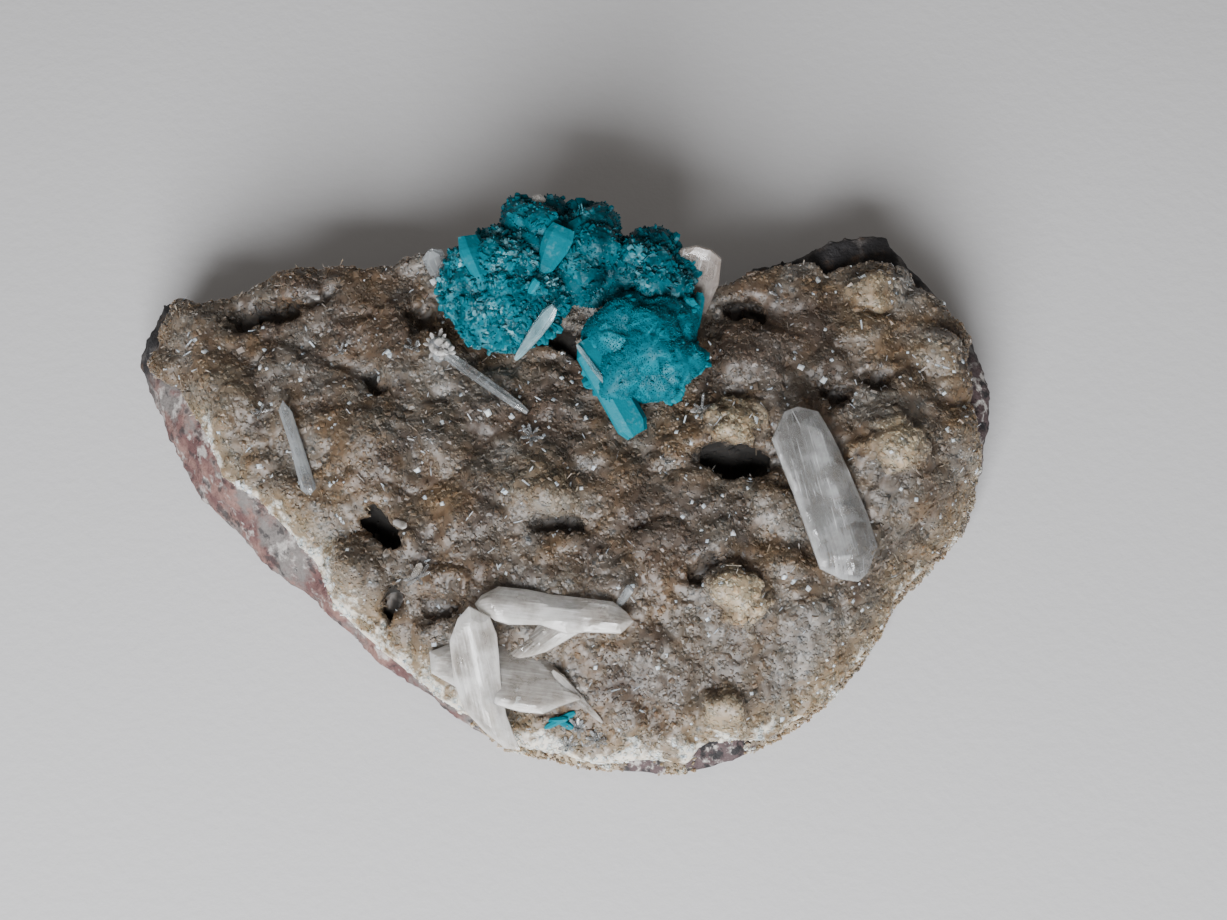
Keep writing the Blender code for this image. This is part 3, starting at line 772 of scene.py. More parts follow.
@dataclass(frozen=True)
class Mounds:
    """Rounded humps that stand side by side with creases between them, in millimetres."""

    spacing: float
    height: float
    crease: float
    seed: int
    reach: Place = (48.0, 31.0, 0.0)
    batch: int = 4096

    def read(self, spots: np.ndarray) -> tuple[np.ndarray, np.ndarray]:
        """Reads the humps.

        Args:
            spots: Where they are read.

        Returns:
            The lift, and how much each spot lies in a crease from 0 to 1.
        """
        chance = np.random.default_rng(self.seed)
        columns = np.arange(-self.reach[0], self.reach[0], self.spacing)
        rows = np.arange(-self.reach[1], self.reach[1], self.spacing)
        centres = np.array([(x, y) for x in columns for y in rows])
        centres += chance.uniform(-0.45, 0.45, centres.shape) * self.spacing
        sizes = chance.uniform(0.7, 1.3, len(centres))
        heights = chance.uniform(0.2, 1.0, len(centres))
        warp = np.stack([clouds(spots, self.spacing * 0.7, 2, shift) for shift in (31.0, 57.0)], axis=1)
        flat = spots[:, :2] + warp * self.spacing * 0.22
        lift = np.empty(len(spots))
        crease = np.empty(len(spots))
        for start in range(0, len(spots), self.batch):
            part = slice(start, start + self.batch)
            away = np.linalg.norm(flat[part, None, :] - centres[None, :, :], axis=2) / sizes
            nearest = away.argmin(axis=1)
            row = np.arange(len(nearest))
            first = away[row, nearest].copy()
            away[row, nearest] = np.inf
            second = away.min(axis=1)
            lift[part] = heights[nearest] * (1.0 - (first / (0.62 * self.spacing)) ** 2)
            crease[part] = np.clip(1.0 - (second - first) / self.crease, 0.0, 1.0)
        return self.height * np.clip(lift, -0.35, 1.0), crease


@dataclass(frozen=True)
class Hollow:
    """An opening between the crusts, in millimetres, turned by an angle in degrees; dark is how strongly it
    is painted black as shade.
    """

    x: float
    y: float
    length: float
    width: float
    angle: float
    dark: float = 1.0
    ragged: float = 0.9

    def share(self, spots: np.ndarray) -> np.ndarray:
        """Returns how far each spot lies in the opening, from 0 to 1.

        Args:
            spots: The spots, one row each.

        Returns:
            A number for each spot.
        """
        turn = math.radians(self.angle)
        along = (spots[:, 0] - self.x) * math.cos(turn) + (spots[:, 1] - self.y) * math.sin(turn)
        across = (spots[:, 1] - self.y) * math.cos(turn) - (spots[:, 0] - self.x) * math.sin(turn)
        reach = np.hypot(along / (self.length / 2.0), across / (self.width / 2.0))
        wavy = reach + self.ragged * clouds(spots, 2.2, 4, 21.0)
        return self.dark * np.clip((1.30 - wavy) * 2.0, 0.0, 1.0)


class Layout(Enum):
    """How scattered crystals are turned."""

    SUGAR = "each its own way"
    SHEAF = "in sheaves that share one way"


@dataclass(frozen=True)
class Scatter:
    """Small crystals strewn over a surface, made by a node tree.

    Sizes are in millimetres, density is crystals to the square millimetre.
    """

    name: str
    density: float
    size: Place
    spread: float
    lean: float
    seed: int
    layout: Layout = Layout.SUGAR
    sheaf: float = 1.5
    density_from: str = "sugar"
    darkest: float = 0.0

    def _tree(self) -> bpy.types.NodeTree:
        """Returns the node tree that strews a crystal over the piece it is on.

        Returns:
            The node tree.
        """
        tree = bpy.data.node_groups.new(self.name, "GeometryNodeTree")
        sockets = tree.interface
        inputs = (
            ("Surface", "NodeSocketGeometry"),
            ("Crystal", "NodeSocketObject"),
            ("Finish", "NodeSocketMaterial"),
            ("Density", "NodeSocketFloat"),
            ("Width", "NodeSocketFloat"),
            ("Thickness", "NodeSocketFloat"),
            ("Length", "NodeSocketFloat"),
            ("Spread", "NodeSocketFloat"),
            ("Lean", "NodeSocketFloat"),
            ("Sheaf", "NodeSocketFloat"),
            ("Seed", "NodeSocketInt"),
        )
        for name, kind in inputs:
            sockets.new_socket(name=name, in_out="INPUT", socket_type=kind)
        sockets.new_socket(name="Crystals", in_out="OUTPUT", socket_type="NodeSocketGeometry")
        board = NodeBoard(tree)
        given = board.node("NodeGroupInput")
        size = {name: Wire(board, given.outputs[name]) for name, _ in inputs}
        named = {"Name": self.density_from}
        thick = board.wire("GeometryNodeInputNamedAttribute", {"data_type": "FLOAT"}, named)
        strewn = board.node("GeometryNodeDistributePointsOnFaces", {}, {
            "Mesh": size["Surface"], "Density": size["Density"] * thick, "Seed": size["Seed"],
        })
        points = Wire(board, strewn.outputs["Points"])
        outward = Wire(board, strewn.outputs["Normal"])
        if self.layout is Layout.SHEAF:
            own = board.wire("GeometryNodeInputPosition")
            patch = board.wire("ShaderNodeTexVoronoi", {}, {"Vector": own, "Scale": size["Sheaf"]}, "Color")
            way = board.vector("SUBTRACT", patch, (0.5, 0.5, 0.5))
            split = board.node("ShaderNodeSeparateXYZ", {}, {0: patch})
            spin = Wire(board, split.outputs[0]) * math.tau
            spin = spin + self._random(board, "FLOAT", -0.25, 0.25, size["Seed"] + 3)
        else:
            way = self._random(board, "FLOAT_VECTOR", (-0.5, -0.5, -0.5), (0.5, 0.5, 0.5), size["Seed"] + 1)
            spin = self._random(board, "FLOAT", 0.0, math.tau, size["Seed"] + 3)
        way = board.scaled(way, size["Lean"] * 2.0)
        way = board.vector("ADD", way, outward)
        turned = board.wire("FunctionNodeAlignRotationToVector", {"axis": "Z"}, {"Vector": way})
        roll = board.wire("ShaderNodeCombineXYZ", {}, {"Z": spin})
        roll = board.wire("FunctionNodeEulerToRotation", {}, {0: roll})
        turned = board.wire(
            "FunctionNodeRotateRotation", {"rotation_space": "LOCAL"}, {"Rotation": turned, "Rotate By": roll}
        )
        grown = 1.0 + size["Spread"] * self._random(board, "FLOAT", -1.0, 1.0, size["Seed"] + 5)
        slim = 1.0 + size["Spread"] * self._random(board, "FLOAT", -1.0, 1.0, size["Seed"] + 7)
        scale = board.wire("ShaderNodeCombineXYZ", {}, {
            "X": size["Width"] * slim, "Y": size["Thickness"] * slim, "Z": size["Length"] * grown,
        })
        shape = board.wire("GeometryNodeObjectInfo", {}, {"Object": size["Crystal"]}, "Geometry")
        placed = board.wire("GeometryNodeInstanceOnPoints", {}, {
            "Points": points, "Instance": shape, "Rotation": turned, "Scale": scale,
        })
        tint = self._random(board, "FLOAT", self.darkest, 1.0, size["Seed"] + 9)
        placed = board.wire("GeometryNodeStoreNamedAttribute", {"data_type": "FLOAT", "domain": "INSTANCE"}, {
            "Geometry": placed, "Name": "tint", "Value": tint,
        })
        real = board.wire("GeometryNodeRealizeInstances", {}, {0: placed})
        done = board.wire("GeometryNodeSetMaterial", {}, {"Geometry": real, "Material": size["Finish"]})
        board.node("NodeGroupOutput", {}, {0: done})
        return tree

    def _random(self, board: NodeBoard, kind: str, low: Any, high: Any, seed: Wire) -> Wire:
        """Adds a random number or vector.

        Args:
            board: The tree it is added to.
            kind: FLOAT or FLOAT_VECTOR.
            low: Its lowest value.
            high: Its highest value.
            seed: What fixes it.

        Returns:
            The random value.
        """
        first = 0 if kind == "FLOAT_VECTOR" else 2
        output = 0 if kind == "FLOAT_VECTOR" else 1
        inputs = {first: low, first + 1: high, "Seed": seed}
        return board.wire("FunctionNodeRandomValue", {"data_type": kind}, inputs, output)

    def over(
        self, surface: bpy.types.Object, crystal: bpy.types.Object, material: bpy.types.Material
    ) -> bpy.types.Object:
        """Strews the crystal over a surface.

        Args:
            surface: The piece that carries the crystals.
            crystal: The crystal, one unit long.
            material: The crystals' material.

        Returns:
            The crystals as one plain mesh.
        """
        piece = bpy.data.objects.new(self.name, surface.data.copy())
        bpy.context.scene.collection.objects.link(piece)
        tree = self._tree()
        modifier = piece.modifiers.new("crystals", "NODES")
        modifier.node_group = tree
        given = {
            "Crystal": crystal,
            "Finish": material,
            "Density": self.density / MM / MM,
            "Width": self.size[0] * MM,
            "Thickness": self.size[1] * MM,
            "Length": self.size[2] * MM,
            "Spread": self.spread,
            "Lean": self.lean,
            "Sheaf": 1.0 / (self.sheaf * MM),
            "Seed": self.seed,
        }
        for socket in tree.interface.items_tree:
            if socket.name in given:
                modifier[socket.identifier] = given[socket.name]
        baked(piece)
        return piece


class CrystalShapes:
    """The small crystals that are strewn, one unit long, standing on their roots."""

    def __init__(self) -> None:
        """Makes the shapes out of sight."""
        self.grain = self._shape("grain_shape", 4, -1.3, 0.62, 0.25)
        self.blade = self._shape("blade_shape", 6, -0.8, 0.80, 0.45)

    def _shape(self, name: str, sides: int, root: float, shoulder: float, tip: float) -> bpy.types.Object:
        """Makes a crystal with a roof-shaped end.

        Args:
            name: Its name.
            sides: How many sides it has.
            root: Where it starts.
            shoulder: Where its end starts, as a share of its length.
            tip: The width of its ridge, as a share of its own.

        Returns:
            The crystal, one unit across and long.
        """
        ring = [(math.cos(math.tau * (i + 0.5) / sides) / 2.0, math.sin(math.tau * (i + 0.5) / sides) / 2.0)
                for i in range(sides)]
        points = [(x, y, root) for x, y in ring]
        points += [(x, y, shoulder) for x, y in ring]
        points += [(-tip / 2.0, 0.0, 1.0), (tip / 2.0, 0.0, 1.0)]
        faces: list[tuple[int, ...]] = [tuple(reversed(range(sides)))]
        for i in range(sides):
            after = (i + 1) % sides
            faces.append((i, after, sides + after, sides + i))
            left = points[sides + i][0] < -TINY
            right = points[sides + after][0] < -TINY
            peak = 2 * sides if left else 2 * sides + 1
            next_peak = 2 * sides if right else 2 * sides + 1
            if peak == next_peak:
                faces.append((sides + i, sides + after, peak))
            else:
                faces.append((sides + i, sides + after, next_peak, peak))
        mesh = bpy.data.meshes.new(name)
        mesh.from_pydata(points, [], faces)
        turn_outwards(mesh)
        return bpy.data.objects.new(name, mesh)

    def clear(self) -> None:
        """Removes the shapes once everything is strewn."""
        for shape in (self.grain, self.blade):
            bpy.data.objects.remove(shape)


@dataclass(frozen=True)
class Star:
    """A few thin crystals that stand apart from one spot, in millimetres."""

    centre: Place
    rays: int
    reach: float
    width: float
    lift: float
    seed: int

    def laths(self) -> list[Lath]:
        """Returns its crystals.

        Returns:
            The crystals.
        """
        chance = np.random.default_rng(self.seed)
        middle = Vector(self.centre)
        laths = []
        for number in range(self.rays):
            turn = (number + chance.uniform(-0.3, 0.3)) / self.rays * math.tau
            way = Vector((math.cos(turn), math.sin(turn), chance.uniform(0.1, self.lift)))
            tip = middle + way.normalized() * self.reach * chance.uniform(0.6, 1.0)
            laths.append(Lath(tuple(middle), tuple(tip), self.width, self.width * 0.6, rings=4, ridges=1))
        return laths


@dataclass(frozen=True)
class Fan:
    """Flat crystals that spread side by side from one spot, in millimetres, the opening in degrees."""

    centre: Place
    way: Place
    rays: int
    opening: float
    reach: float
    width: float
    seed: int

    def laths(self) -> list[Lath]:
        """Returns its crystals.

        Returns:
            The crystals.
        """
        chance = np.random.default_rng(self.seed)
        middle = Vector(self.centre)
        laths = []
        for number in range(self.rays):
            turn = math.radians(self.opening) * ((number + 0.5) / self.rays - 0.5)
            way = Matrix.Rotation(turn, 3, UP) @ Vector(self.way).normalized()
            way.z += chance.uniform(-0.3, 0.3)
            tip = middle + way.normalized() * self.reach * chance.uniform(0.75, 1.0)
            root = middle + Vector((0.0, 0.0, chance.uniform(-0.5, 0.5)))
            laths.append(Lath(tuple(root), tuple(tip), self.width, self.width * 0.45,
                              roll=chance.uniform(-40.0, 40.0), tip_width=0.6, rings=6, ridges=2))
        return laths


@dataclass
class DruseCrust:
    """The granular crust: a rough skin, its sugar of small crystals and a few flakes."""

    grid: float = 0.36
    rounds: int = 4
    lump_lift: float = 1.3
    sink: float = 1.3
    relief: float = 0.20
    relief_grain: float = 1.1
    mounds: Mounds = Mounds(4.6, 0.9, 1.0, 7)
    knobs: Mounds = Mounds(1.8, 0.28, 0.5, 17)
    rim_width: float = 6.0
    rim_back: float = 12.0
    rim_fade: float = 5.0
    rim_sectors: int = 180
    flake_thickness: float = 0.25
    flake_rise: float = 0.25
    flake_roll: float = 20.0
    # Cream lumps: partly the crust's cream tone and partly painted highlight on the humps.
    lumps: tuple[Lump, ...] = (
        Lump(17.2, 4.6, 2.4, 1.0), Lump(32.8, 2.6, 2.9, 0.9), Lump(17.5, -12.5, 2.6, 1.0),
        Lump(-1.0, -2.0, 3.4, 0.3), Lump(16.0, -22.0, 2.0, 0.8), Lump(31.5, 19.5, 2.4, 0.6),
        Lump(30.0, 15.0, 3.0, 0.2), Lump(38.0, 13.0, 2.6, 0.25), Lump(-32.5, 8.0, 3.4, 0.2),
    )
    # Darker patches: partly browner crust and partly painted shade.
    umber_and_shade_patches: tuple[Lump, ...] = (
        Lump(-22.0, 15.5, 8.0, 0.75), Lump(22.0, 13.0, 8.0, 0.85), Lump(9.0, -5.0, 7.0, 0.75),
        Lump(24.5, 3.5, 4.0, 0.8), Lump(-13.0, 3.0, 6.0, 0.4), Lump(-8.0, -8.0, 5.0, 0.5),
        Lump(-12.0, -17.0, 4.0, 0.6), Lump(9.0, -21.5, 5.0, 0.55), Lump(-1.5, 6.8, 7.0, 0.9),
        Lump(-17.0, -9.0, 4.0, 0.45),
    )
    hollows: tuple[Hollow, ...] = (
        Hollow(-17.3, -5.0, 4.6, 2.2, -47.0), Hollow(-16.0, -12.0, 3.2, 1.6, 70.0, 0.9),
        Hollow(17.4, 1.2, 7.6, 2.9, -4.0, 1.0, 0.4), Hollow(0.5, -5.2, 5.0, 1.8, -5.0, 0.6),
        Hollow(-11.0, -12.6, 4.5, 2.2, 10.0, 0.5), Hollow(27.5, 8.0, 3.4, 2.4, 0.0, 0.5),
        Hollow(-29.0, 17.2, 9.0, 2.4, 12.0, 0.6), Hollow(-13.5, 16.5, 3.6, 2.8, 90.0, 0.6),
        Hollow(18.5, 17.2, 4.2, 2.4, -20.0, 0.6), Hollow(13.7, -10.0, 3.2, 2.4, 30.0, 0.5),
        Hollow(31.5, 9.5, 3.4, 2.4, 20.0, 0.4), Hollow(-18.5, 9.5, 2.4, 1.4, -50.0, 0.8),
        Hollow(0.6, 14.0, 3.4, 3.4, 0.0, 0.9),
    )
    sugar: tuple[Scatter, ...] = (
        Scatter("druse_sugar_a", 2.4, (0.42, 0.38, 0.09), 0.40, 0.22, 101),
        Scatter("druse_sugar_b", 1.8, (0.54, 0.48, 0.11), 0.40, 0.22, 211),
        Scatter("druse_sugar_c", 1.4, (0.30, 0.27, 0.11), 0.40, 0.3, 307),
        Scatter("druse_blocks", 0.4, (0.75, 0.62, 0.20), 0.40, 0.4, 401),
        Scatter("druse_laths", 0.3, (0.16, 0.09, 0.50), 0.45, 2.6, 503, darkest=0.93),
    )
    flakes: tuple[tuple[Place, float, float, float], ...] = (
        ((-24.6, 18.45, 14.2), 1.6, 0.7, -35.0), ((15.7, -2.85, 12.9), 1.6, 0.9, 20.0),
        ((10.8, -2.15, 13.1), 0.9, 0.7, 70.0), ((14.0, 5.95, 14.6), 2.2, 0.8, 5.0),
        ((-15.1, -5.4, 13.0), 1.5, 0.8, -30.0), ((-13.4, -10.1, 12.6), 1.8, 0.7, 60.0),
    )

    stars: tuple[Star, ...] = (
        Star((-2.6, 3.3, 13.9), 7, 1.5, 0.34, 1.2, 3), Star((-26.0, 18.5, 13.8), 6, 1.5, 0.26, 1.0, 5),
        Star((14.0, 5.9, 14.7), 5, 1.6, 0.30, 0.6, 9), Star((-13.2, -10.6, 12.4), 6, 1.6, 0.34, 0.8, 13),
        Star((-14.3, 12.6, 14.4), 6, 1.5, 0.40, 1.5, 15), Star((-29.2, 5.9, 13.8), 5, 1.3, 0.24, 0.8, 17),
        Star((7.4, -8.0, 12.6), 5, 1.2, 0.24, 0.9, 19), Star((-4.6, -13.0, 12.4), 5, 1.3, 0.26, 0.9, 21),
        Star((27.6, -3.4, 12.8), 5, 1.4, 0.30, 1.2, 25), Star((-21.6, 12.3, 14.2), 5, 1.1, 0.24, 0.9, 27),
        Star((2.0, -23.6, 5.6), 8, 1.6, 0.36, 1.4, 41), Star((3.8, -24.6, 5.0), 8, 1.6, 0.36, 1.4, 43),
        Star((1.0, -25.0, 4.6), 7, 1.3, 0.34, 1.2, 45), Star((10.6, 1.0, 13.4), 6, 1.3, 0.36, 1.4, 29),
        Star((22.0, 18.6, 13.8), 6, 1.3, 0.34, 1.2, 31),
    )

    def _rim_share(self, spots: np.ndarray) -> np.ndarray:
        """Returns 1 at the crust's outer edge and 0 further in than its rim, for each spot.

        Args:
            spots: The spots, one row each.

        Returns:
            A number for each spot.
        """
        angle = np.arctan2(spots[:, 1], spots[:, 0])
        reach = np.hypot(spots[:, 0], spots[:, 1])
        sectors = self.rim_sectors
        index = ((angle + math.pi) / math.tau * sectors).astype(int) % sectors
        edge = np.zeros(sectors)
        np.maximum.at(edge, index, reach)
        centres = (np.arange(sectors) + 0.5) / sectors * math.tau - math.pi
        inward = np.interp(angle, centres, edge, period=math.tau) - reach
        share = np.clip(1.0 - inward / self.rim_width, 0.0, 1.0)
        front = np.clip((self.rim_back - spots[:, 1]) / self.rim_fade, 0.0, 1.0)
        right = np.clip(1.0 - (spots[:, 0] - 12.0) / 90.0, 0.75, 1.0)
        return share * front * right

    def skin(self, node: bpy.types.Object, material: bpy.types.Material) -> bpy.types.Object:
        """Makes the rough skin of the crust.

        Args:
            node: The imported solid.
            material: The crust's material.

        Returns:
            The skin.
        """
        piece = even_copy(node, "druse_skin", self.grid, self.rounds, material)
        mesh = piece.data
        spots = places(mesh)
        facing = normals(mesh)
        top = np.clip((facing[:, 2] + 0.1) * 2.0, 0.0, 1.0)
        humps, deep = self.mounds.read(spots)
        knobs, small_crease = self.knobs.read(spots)
        rough = self.relief * clouds(spots, self.relief_grain, 4, 9.0)
        rim = self._rim_share(spots)
        # Cream lumps: partly cream crust and partly painted highlight on the humps.
        cream_and_highlight = np.zeros(len(spots))
        for lump in self.lumps:
            cream_and_highlight = np.maximum(cream_and_highlight, lump.share(spots, wave=0.5, grain=0.9, reach=1.1, slope=1.4))
        # Patches darkened partly as painted shade and partly as browner crust.
        dusk = np.zeros(len(spots))
        for patch in self.umber_and_shade_patches:
            dusk = np.maximum(dusk, patch.share(spots, wave=0.7, grain=0.7, reach=1.3, slope=1.0))
        edge = np.clip(rim * 2.0 - 1.0, 0.0, 1.0)
        lift = (humps + knobs + rough + self.lump_lift * cream_and_highlight) * top * (1.0 - 0.6 * edge)
        # The hollows sink the skin a little and paint it black as shade.
        hollow = np.zeros(len(spots))
        for opening in self.hollows:
            hollow = np.maximum(hollow, opening.share(spots))
        lift = lift - self.sink * hollow * top
        put_places(mesh, spots + facing * lift[:, None])
        patchy = 0.5 + 0.5 * clouds(spots, 1.4, 3, 14.0)
        where = np.clip(0.5 + 1.6 * clouds(spots, 8.0, 2, 25.0), 0.0, 1.0)
        # The crease number paints shade into the creases between the humps.
        crease = np.maximum(deep * where, 0.15 * small_crease) * (1.0 - edge)
        set_numbers(mesh, "hollow", hollow)
        set_numbers(mesh, "crease", crease)
        set_numbers(mesh, "lump", cream_and_highlight * np.clip(0.5 + 0.7 * patchy, 0.0, 1.0))
        set_numbers(mesh, "rim", rim)
        set_numbers(mesh, "dusk", dusk)
        upward = np.where(facing[:, 2] > -0.1, 1.0, 0.0)
        brink = np.clip(rim * 6.0 - 5.0, 0.0, 1.0)
        set_numbers(mesh, "sugar", upward * (1.0 - 0.8 * hollow) * (1.0 - 0.6 * brink))
        set_numbers(mesh, "tint", np.full(len(spots), 0.5))
        smooth(piece)
        return piece

    def build(self, frame: dict[str, Any], palette: Palette, shapes: CrystalShapes) -> None:
        """Makes the skin, strews the sugar over it and lays the flakes.

        Args:
            frame: The loaded frame.
            palette: The shared materials.
            shapes: The small crystals.
        """
        skin = self.skin(frame["nodes"]["druse_crust"], palette.druse)
        for scatter in self.sugar:
            dress(scatter.over(skin, shapes.grain, palette.druse), "druse")
        dress(skin, "druse", "druse_crust")
        for number, (centre, length, width, angle) in enumerate(self.flakes):
            turn = math.radians(angle)
            run = Vector((math.cos(turn), math.sin(turn), self.flake_rise)) * (length / 2.0)
            middle = Vector(centre)
            roll = self.flake_roll * (number % 3 - 1)
            lath = Lath(tuple(middle - run), tuple(middle + run), width, self.flake_thickness, roll=roll)
            dress(lath.piece(f"druse_flake_{number}", palette.milky), "stilbite")
        rays = [lath for star in self.stars for lath in star.laths()]
        dress(joined(rays, "druse_stars", palette.glassy), "stilbite")


@dataclass(frozen=True)
class Lath:
    """A flat crystal from its root to its tip, in millimetres, with pointed and stepped ends."""

    root: Place
    tip: Place
    width: float
    thickness: float
    roll: float = 0.0
    root_width: float = 0.8
    root_taper: float = 0.12
    tip_taper: float = 0.16
    tip_width: float = 0.25
    ridges: int = 4
    rings: int = 22
    stepped: float = 0.02
    seed: float = 0.0

    def _section(self) -> list[tuple[float, float]]:
        """Returns the outline across the crystal, with fine ridges along its flats.

        Returns:
            The outline.
        """
        corners = [
            (1.0, 0.25), (0.55, 1.0), (-0.55, 1.0), (-1.0, 0.25),
            (-1.0, -0.25), (-0.55, -1.0), (0.55, -1.0), (1.0, -0.25),
        ]
        outline = []
        for i, (x, y) in enumerate(corners):
            next_x, next_y = corners[(i + 1) % len(corners)]
            for part in range(self.ridges):
                share = part / self.ridges
                mark = Vector((i * 3.7 + part * 1.9, self.seed + self.width, 2.3))
                rise = 1.0 + (0.05 * noise.noise(mark * 1.7) if part else 0.0)
                outline.append(((x + (next_x - x) * share) * rise, (y + (next_y - y) * share) * rise))
        return outline

    def mesh(self) -> Build:
        """Works out the crystal's shape.

        Returns:
            Its points and faces, each point's place along and around it, and how milky each point is.
        """
        root = Vector(self.root)
        run = Vector(self.tip) - root
        along = run.normalized()
        across = Matrix.Rotation(math.radians(self.roll), 3, along) @ along.cross(UP).normalized()
        over = across.cross(along)
        stops = [0.0, self.root_taper, 0.55, 1.0 - self.tip_taper, 1.0]
        wide = [self.root_width * 0.45, self.root_width, 0.97, 1.0, self.tip_width]
        thick = [0.5, 0.9, 1.0, 0.92, 0.4]
        shares = sorted(set(stops) | {i / (self.rings - 1) for i in range(self.rings)})
        outline = self._section()
        points, chart, milk = [], [], []
        for share in shares:
            width = float(np.interp(share, stops, wide)) * self.width / 2.0
            height = float(np.interp(share, stops, thick)) * self.thickness / 2.0
            for number, (side, rise) in enumerate(outline):
                mark = Vector((side * 2.6, self.seed, share * 1.5))
                late = self.stepped * run.length * noise.noise(mark * 2.0) * step(0.6, 1.0, share)
                middle = root + run * share + along * late
                points.append(middle + across * (side * width) + over * (rise * height))
                round_it = number / len(outline) * (self.width + self.thickness) * 2.0 * MM
                chart.append((share * run.length * MM, round_it))
                # Milkier towards both ends, partly frosted ends and partly painted highlight.
                milk.append(max(1.0 - share * 4.0, share * 4.0 - 3.0, 0.0))
        count = len(outline)
        faces: list[tuple[int, ...]] = []
        for here in range(0, (len(shares) - 1) * count, count):
            for i in range(count):
                after = (i + 1) % count
                faces.append((here + i, here + after, here + count + after, here + count + i))
        last = (len(shares) - 1) * count
        for first in (0, last):
            centre = sum((points[first + i] for i in range(count)), Vector()) / count
            points.append(centre)
            chart.append(chart[first])
            milk.append(1.0)
            for i in range(count):
                faces.append((first + i, first + (i + 1) % count, len(points) - 1))
        return points, faces, chart, milk

    def piece(self, name: str, material: bpy.types.Material) -> bpy.types.Object:
        """Returns the crystal as a piece of its own."""
        return joined([self], name, material)


@dataclass(frozen=True)
class Plate:
    """A flat crystal cut to an outline, with bevelled edges, a ridge and fine lines along it.

    The outline holds places along and across it, in millimetres from its root.
    """

    root: Place
    tip: Place
    roll: float
    thickness: float
    outline: tuple[tuple[float, float], ...]
    ridge: float = 0.0
    fall: float = 0.12
    bevel: float = 0.8
    rim: float = 0.14
    line: float = 0.02
    frosted_and_highlight_edge: float = 0.6
    grid: float = 0.30
    seed: int = 1

    def _ring(self) -> np.ndarray:
        """Returns the outline with its long edges split, one row for each corner.

        Returns:
            The corners.
        """
        corners = np.array(self.outline)
        ring = []
        for first, second in zip(corners, np.roll(corners, -1, axis=0)):
            parts = max(1, int(np.linalg.norm(second - first) / self.grid))
            ring += [first + (second - first) * part / parts for part in range(parts)]
        return np.array(ring)

    def _rise(self, spots: np.ndarray) -> tuple[np.ndarray, np.ndarray]:
        """Returns how high the bevels rise at each spot, and its distance from the edge.

        Args:
            spots: The spots, one row each.

        Returns:
            The heights and the distances.
        """
        chance = np.random.default_rng(self.seed)
        corners = np.array(self.outline)
        after = np.roll(corners, -1, axis=0)
        slopes = chance.uniform(0.6, 1.5, len(corners)) * self.bevel
        rise = np.full(len(spots), np.inf)
        inward = np.full(len(spots), np.inf)
        for first, second, slope in zip(corners, after, slopes):
            run = second - first
            share = np.clip(((spots - first) @ run) / (run @ run), 0.0, 1.0)
            away = np.linalg.norm(spots - (first + share[:, None] * run), axis=1)
            rise = np.minimum(rise, slope * away)
            inward = np.minimum(inward, away)
        return rise, inward

    def _inside(self, spots: np.ndarray) -> np.ndarray:
        """Returns which spots lie inside the outline.

        Args:
            spots: The spots, one row each.

        Returns:
            True or false for each spot.
        """
        corners = np.array(self.outline)
        inside = np.zeros(len(spots), bool)
        for first, second in zip(corners, np.roll(corners, -1, axis=0)):
            spans = (first[1] > spots[:, 1]) != (second[1] > spots[:, 1])
            if first[1] != second[1]:
                run = second - first
                cross = run[0] * (spots[:, 1] - first[1]) / run[1] + first[0]
                inside ^= spans & (spots[:, 0] < cross)
        return inside

    def mesh(self) -> Build:
        """Works out the crystal's shape.

        Returns:
            Its points and faces, each point's place along and across it, and how milky each point is.
        """
        ring = self._ring()
        low, high = ring.min(axis=0), ring.max(axis=0)
        lengthwise = np.arange(low[0], high[0], self.grid)
        crosswise = np.arange(low[1], high[1], self.grid)
        along, across = np.meshgrid(lengthwise, crosswise)
        filling = np.stack([along.ravel(), across.ravel()], axis=1)
        _, inward = self._rise(filling)
        filling = filling[self._inside(filling) & (inward > self.grid * 0.5)]
        spots = np.concatenate([ring, filling])
        edges = [(i, (i + 1) % len(ring)) for i in range(len(ring))]
        laid = geometry.delaunay_2d_cdt([Vector(spot) for spot in spots], edges, [], 0, TINY)
        spots = np.array([tuple(spot) for spot in laid[0]])
        triangles = np.array([tuple(face) for face in laid[2]])
        triangles = triangles[self._inside(spots[triangles].mean(axis=1))]
        rise, inward = self._rise(spots)
        ledge = self.thickness / 2.0 - self.rim - self.fall * np.abs(spots[:, 1] - self.ridge)
        lines = np.array([noise.noise(Vector((u * 0.2, v * 4.5, self.seed * 3.1))) for u, v in spots])
        height = np.minimum(rise, np.maximum(ledge, 0.1))
        height = height + self.line * lines * np.clip(inward * 3.0, 0.0, 1.0)
        height[: len(ring)] = 0.0
        root = Vector(self.root)
        way = (Vector(self.tip) - root).normalized()
        flat = Matrix.Rotation(math.radians(self.roll), 3, way) @ way.cross(UP).normalized()
        over = flat.cross(way)
        points = []
        for sign, share in ((1.0, 1.0), (-1.0, 0.8)):
            for (u, v), rise_here in zip(spots, height):
                level = float(sign * (self.rim + share * rise_here))
                points.append(root + way * float(u) + flat * float(v) + over * level)
        count = len(spots)
        faces: list[tuple[int, ...]] = [tuple(int(i) for i in face) for face in triangles]
        faces += [tuple(int(i) + count for i in reversed(face)) for face in triangles]
        faces += [(i, j, j + count, i + count) for i, j in edges]
        chart = [(float(u) * MM, float(v) * MM) for u, v in spots] * 2
        # Milkier towards the edges, partly frosted rim and partly painted edge highlight.
        milk = [float(share) for share in np.clip(1.0 - inward / self.frosted_and_highlight_edge, 0.0, 1.0)] * 2
        return points, faces, chart, milk


Crystal = Union[Lath, Plate]


